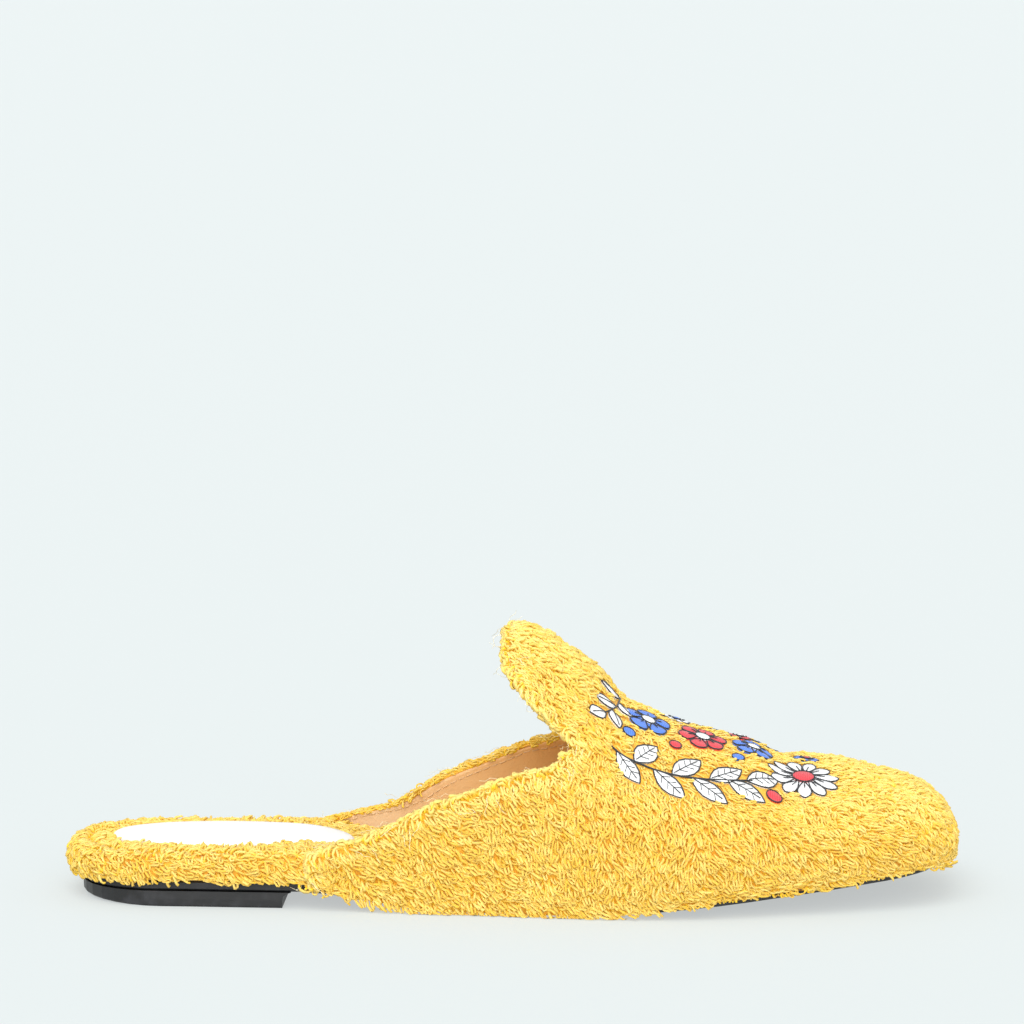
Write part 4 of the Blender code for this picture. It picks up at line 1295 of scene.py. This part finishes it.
@dataclass
class Footbed:
    """Padded board with its terry cover and the leather pad let into it."""

    last: Last
    wall: float = 0.0042
    pile_height: float = 0.0021
    pad_width: float = 0.0400
    pad_narrowing: float = 0.22
    pad_crown: float = 0.0006
    deepest_pile: float = 0.180

    def ring(self, margin: float, drop: float, from_top: bool) -> np.ndarray:
        """One level of the cover, from the back round the outer side.

        Args:
            margin: How far outside the last's outline, behind the seam.
            drop: How far below the top or above the feather line.
            from_top: True if the drop is measured from the top.
        """
        last = self.last
        end = last.length - last.toe_corner
        heel = last.heel_round * (1 - np.cos(np.pi / 2 * np.arange(20) / 20))
        side = last.heel_round + (end - last.heel_round) * np.arange(90) / 90
        toe = end + last.toe_corner * np.sin(np.pi / 2 * np.arange(13) / 12)
        places = np.concatenate([heel, side, toe])
        # at the seam the cover steps in to lie inside the upper
        inside = ease((places - last.seam_at + 0.0006) / 0.0008)
        margins = margin * (1 - inside) + np.minimum(margin, -0.0004) * inside
        # the inner rings draw closer together at the toe, so that they don't cross at its corners
        margins = margins * (1 - 0.27 * ease((places - 0.225) / 0.020))
        depth = drop * (1 - inside * 0.5)
        sides = []
        for sign in (-1.0, 1.0):
            x, y = last.outline(places, sign, margins)
            if from_top:
                height = last.footbed_top(np.clip(x, 0.0, last.length)) - self.pile_height - depth
            else:
                height = last.feather(places) + depth
            sides.append(np.stack([x, y, height], -1))
        return np.concatenate([sides[0], sides[1][:0:-1]])

    def cap(self, base: int, around: int) -> list[tuple[int, ...]]:
        """Strips across one ring, from its back to its front."""
        pairs = [(base + i, base + around - i) for i in range(1, (around + 1) // 2)]
        strips: list[tuple[int, ...]] = [(base, *pairs[0])]
        strips += [(a, c, d, b) for (a, b), (c, d) in zip(pairs, pairs[1:])]
        if around % 2 == 0:
            strips.append((pairs[-1][0], base + around // 2, pairs[-1][1]))
        return strips

    def build_cover(self, cloth: bpy.types.Material) -> tuple[bpy.types.Object, np.ndarray]:
        """Makes the cover as rings from its lower edge over the side to the middle of the top."""
        side = self.wall - self.pile_height
        lower = ((side - 0.0022, 0.0), (side - 0.0006, 0.0010), (side, 0.0026))
        shoulder = ((side, 0.0034), (side - 0.0005, 0.0019), (side - 0.0016, 0.0007), (side - 0.0034, 0.0))
        insets = (0.0045, 0.0075, 0.0105, 0.0135, 0.0165, 0.0195, 0.0220)
        levels = [self.ring(margin, drop, False) for margin, drop in lower]
        levels += [self.ring(margin, drop, True) for margin, drop in shoulder]
        levels += [self.ring(-inset, 0.0, True) for inset in insets]
        rings = np.array(levels) + self.last.origin
        count, around = rings.shape[:2]
        faces = [face[::-1] for face in self.cap(0, around)] + self.cap((count - 1) * around, around)
        piece = Piece("footbed_cover")
        piece.add(rings, grid_faces(count, around, True) + faces)
        return piece.build(cloth, closed=True), rings

    def pad_taper(self, ahead: Any) -> Any:
        """Narrowing of the pad from its back, at -1, to its front, at 1."""
        return 1 - self.pad_narrowing * (1 + ahead) / 2

    def pad_ring(self, margin: float, lift: float, steps: int = 48) -> np.ndarray:
        """Egg-shaped ring of the heel pad, broad at the back and narrow in front."""
        turn = 2 * np.pi * np.arange(steps) / steps
        x = self.last.pad_middle - (self.last.pad_length / 2 + margin) * np.cos(turn)
        y = -(self.pad_width / 2 + margin) * np.sin(turn) * self.pad_taper(-np.cos(turn))
        return np.stack([x, y, self.last.footbed_top(x) + lift], -1) + self.last.origin

    def build_pad(self, leather: bpy.types.Material) -> bpy.types.Object:
        """Makes the pad: leather over thin foam, crowned, its edge pulled down into the pile."""
        insets = (0.0015, 0.0012, 0.0012, 0.0015, 0.0021)
        levels = [(-inset, -drop) for inset, drop in zip(insets, (0.0024, 0.0019, 0.0009, 0.0004, 0.0001))]
        for share in (0.12, 0.24, 0.38, 0.54, 0.72, 0.88):
            levels.append((-self.pad_width / 2 * share, self.pad_crown * math.sin(share * math.pi / 2)))
        points = np.array([self.pad_ring(margin, lift) for margin, lift in levels])
        count, around = points.shape[:2]
        faces = [tuple(reversed(range(around)))] + self.cap((count - 1) * around, around)
        piece = Piece("leather_heel_pad")
        piece.add(points, grid_faces(count, around, True) + faces)
        return piece.build(leather, closed=True)

    def grow_pile(self, pile: TerryPile, rings: np.ndarray) -> list[bpy.types.Object]:
        """Grows the pile of the heel's band and of the cover's top round the pad."""
        count, around = rings.shape[:2]
        local = rings - self.last.origin
        strips = [face for face in self.cap((count - 1) * around, around) if len(face) == 4]
        quads = np.array(grid_faces(count, around, True) + strips)
        x, y, _ = local.reshape(-1, 3)[quads].mean(1).T
        level = quads[:, 0] // around
        half_length, half_width = self.last.pad_length / 2, self.pad_width / 2
        ahead = (x - self.last.pad_middle) / half_length
        # the pile begins 0.4 mm inside the pad's outline
        away = np.hypot(
            (x - self.last.pad_middle) / (half_length - 0.0004),
            y / (half_width * self.pad_taper(ahead) - 0.0004),
        )
        band = (x < self.last.seam_at + 0.0005) & (level >= 1) & (level <= 4)
        top = (level >= 5) & (away > 1) & (x < self.deepest_pile)
        # the top's pile lies in towards the pad and hides its edge, and out over the shoulder
        outward = unit(local - np.array([0.045, 0.0, 0.0])) * [1.0, 1.0, 0.0]
        way = np.where(np.arange(count) <= 6, 1.0, -1.0)[:, None, None]
        worn = 1 - 0.35 * ease((local[..., 0] - 0.070) / 0.02)
        even = np.ones((count, around))
        band_nap = np.tile([1.0, 0.0, -0.8], (count, around, 1))
        band_values = {"nap": band_nap, "pile": 0.84 * even, "pale": 0.0 * even}
        top_nap = unit(unit(outward) * way + [0.3, 0.0, 0.0])
        # the cover's top pile is painted paler all over, as a highlight from above
        top_values = {"nap": top_nap, "pile": 0.85 * worn, "pale": 0.35 * even}
        return [
            pile.grow("heel_band_pile", rings, quads[band], band_values),
            pile.grow("insole_pile", rings, quads[top], top_values, swirl=3.6, spread=1.44),
        ]


@dataclass
class Studio:
    """Pale floor, soft light and the photograph's camera."""

    azimuth: float = 2.0
    elevation: float = 11.0
    roll: float = 0.2
    distance: float = 1.300
    lens: float = 151.5
    sensor: float = 36.0
    target: tuple[float, float, float] = (0.0, 0.0, 0.020)
    target_pixel: tuple[float, float] = (511.0, 824.0)
    frame_pixels: float = 1024.0
    floor_reach: float = 1500.0

    def build_camera(self) -> None:
        """Stands the camera where the photo was taken from, turned so that the shoe falls in its place."""
        a, e = math.radians(self.azimuth), math.radians(self.elevation)
        ahead = Vector((-math.sin(a) * math.cos(e), math.cos(a) * math.cos(e), -math.sin(e)))
        right = Vector((math.cos(a), math.sin(a), 0.0))
        up = right.cross(ahead)
        eye = Vector(self.target) - ahead * self.distance
        focal = self.lens / self.sensor * self.frame_pixels
        dx, dy = (pixel - self.frame_pixels / 2 for pixel in self.target_pixel)
        raised, aside = math.atan2(dy, focal), math.atan2(dx, math.hypot(focal, dy))
        ahead_up = ahead * math.cos(raised) + up * math.sin(raised)
        up = up * math.cos(raised) - ahead * math.sin(raised)
        turned = ahead_up * math.cos(aside) - right * math.sin(aside)
        right = right * math.cos(aside) + ahead_up * math.sin(aside)
        spin = Quaternion((Vector(self.target) - eye).normalized(), math.radians(self.roll))
        matrix = Matrix((spin @ right, spin @ up, spin @ -turned)).transposed().to_4x4()
        matrix.translation = eye
        data = bpy.data.cameras.new("camera")
        data.lens, data.sensor_width = self.lens, self.sensor
        data.clip_start, data.clip_end = 0.05, 4000.0
        camera = new_object("camera", data)
        camera.matrix_world = matrix
        bpy.context.scene.camera = camera

    def build_floor(self) -> None:
        """Lays the floor, far wider than the view."""
        piece = Piece("floor")
        corners = np.array([[-1, -1, 0], [1, -1, 0], [1, 1, 0], [-1, 1, 0]], float)
        piece.add(self.floor_reach * corners, [(0, 1, 2, 3)])
        floor = piece.build(studio_paper())

    def build_light(self) -> None:
        """Sets a broad key light above and in front, a weak fill and a bright even room."""
        for name, strength, angle, turn in (
            ("key", 1.6, 45.0, (30.0, -10.0, 0.0)),
            ("fill", 2.1, 50.0, (72.0, 0.0, 6.0)),
        ):
            data = bpy.data.lights.new(name, "SUN")
            data.energy, data.angle = strength, math.radians(angle)
            new_object(name, data).rotation_euler = [math.radians(value) for value in turn]
        world = bpy.data.worlds.new("bright_room")
        world.use_nodes = True
        values = {"Color": hex_colour("#F4F7F8"), "Strength": 0.78}
        Graph(world.node_tree).feed(world.node_tree.nodes["Background"], values)
        bpy.context.scene.world = world
        bpy.context.scene.view_settings.view_transform = "Standard"


def main() -> None:
    """Builds and dresses the slipper, sub-assembly by sub-assembly."""
    logging.basicConfig(level=logging.INFO, format="%(name)s: %(message)s")
    last = Last()
    studio = Studio()
    studio.build_camera()
    studio.build_floor()
    studio.build_light()

    rubber = moulded_rubber()
    for name in ("outsole", "heel"):
        node = frame["nodes"][name]
        node.data.materials.clear()
        node.data.materials.append(rubber)
        LOG.info("%s keeps its packed solid", name)

    yarn = terry_yarn("cotton_terry_yarn", "#E3AD1E", "#E5B644", "#F0D480")
    fibre = terry_yarn("loose_cotton_fibre", "#F6D98A", "#FDEBB4", "#FFF6D8")
    cloth = ground_cloth()
    tan = grained_leather("tan_lining_leather", "#D6B48A", "#C89866", 0.5, 0.7, 0.00012, "#E8B676")
    white = grained_leather("white_pad_leather", "#F7F6F3", "#E9E7E2", 0.42, 0.9, 0.0001)
    sewing = embroidery_thread("waxed_sewing_thread", "#F2D2A8", "#E3B982", 0.3)

    upper = Upper(last)
    for piece in upper.build_lining(tan, sewing):
        dress(piece, "upper")
    ground, form = upper.build_ground(cloth)
    dress(ground, "upper", "upper")
    stitched = Embroidery(Chart(last, upper.ground_outer)).build()
    for piece in stitched:
        dress(piece, "upper")
    measure = joined_copy("stitched_patches", stitched)
    pile, fibres = TerryPile(yarn), TerryPile(fibre, 0.00006, 160000.0, 0.0015, STRAY_SHAPES, 19)
    for piece in upper.lay_sheet(form, measure).grow(pile, fibres, measure):
        dress(piece, "upper")
    fibres.clear()
    bpy.data.objects.remove(measure)

    footbed = Footbed(last)
    cover, rings = footbed.build_cover(cloth)
    dress(cover, "footbed", "footbed")
    pad = dress(footbed.build_pad(white), "heel_pad", "heel_pad")
    for piece in footbed.grow_pile(pile, rings):
        dress(piece, "footbed")
    pile.clear()


if __name__ == "__main__":
    main()
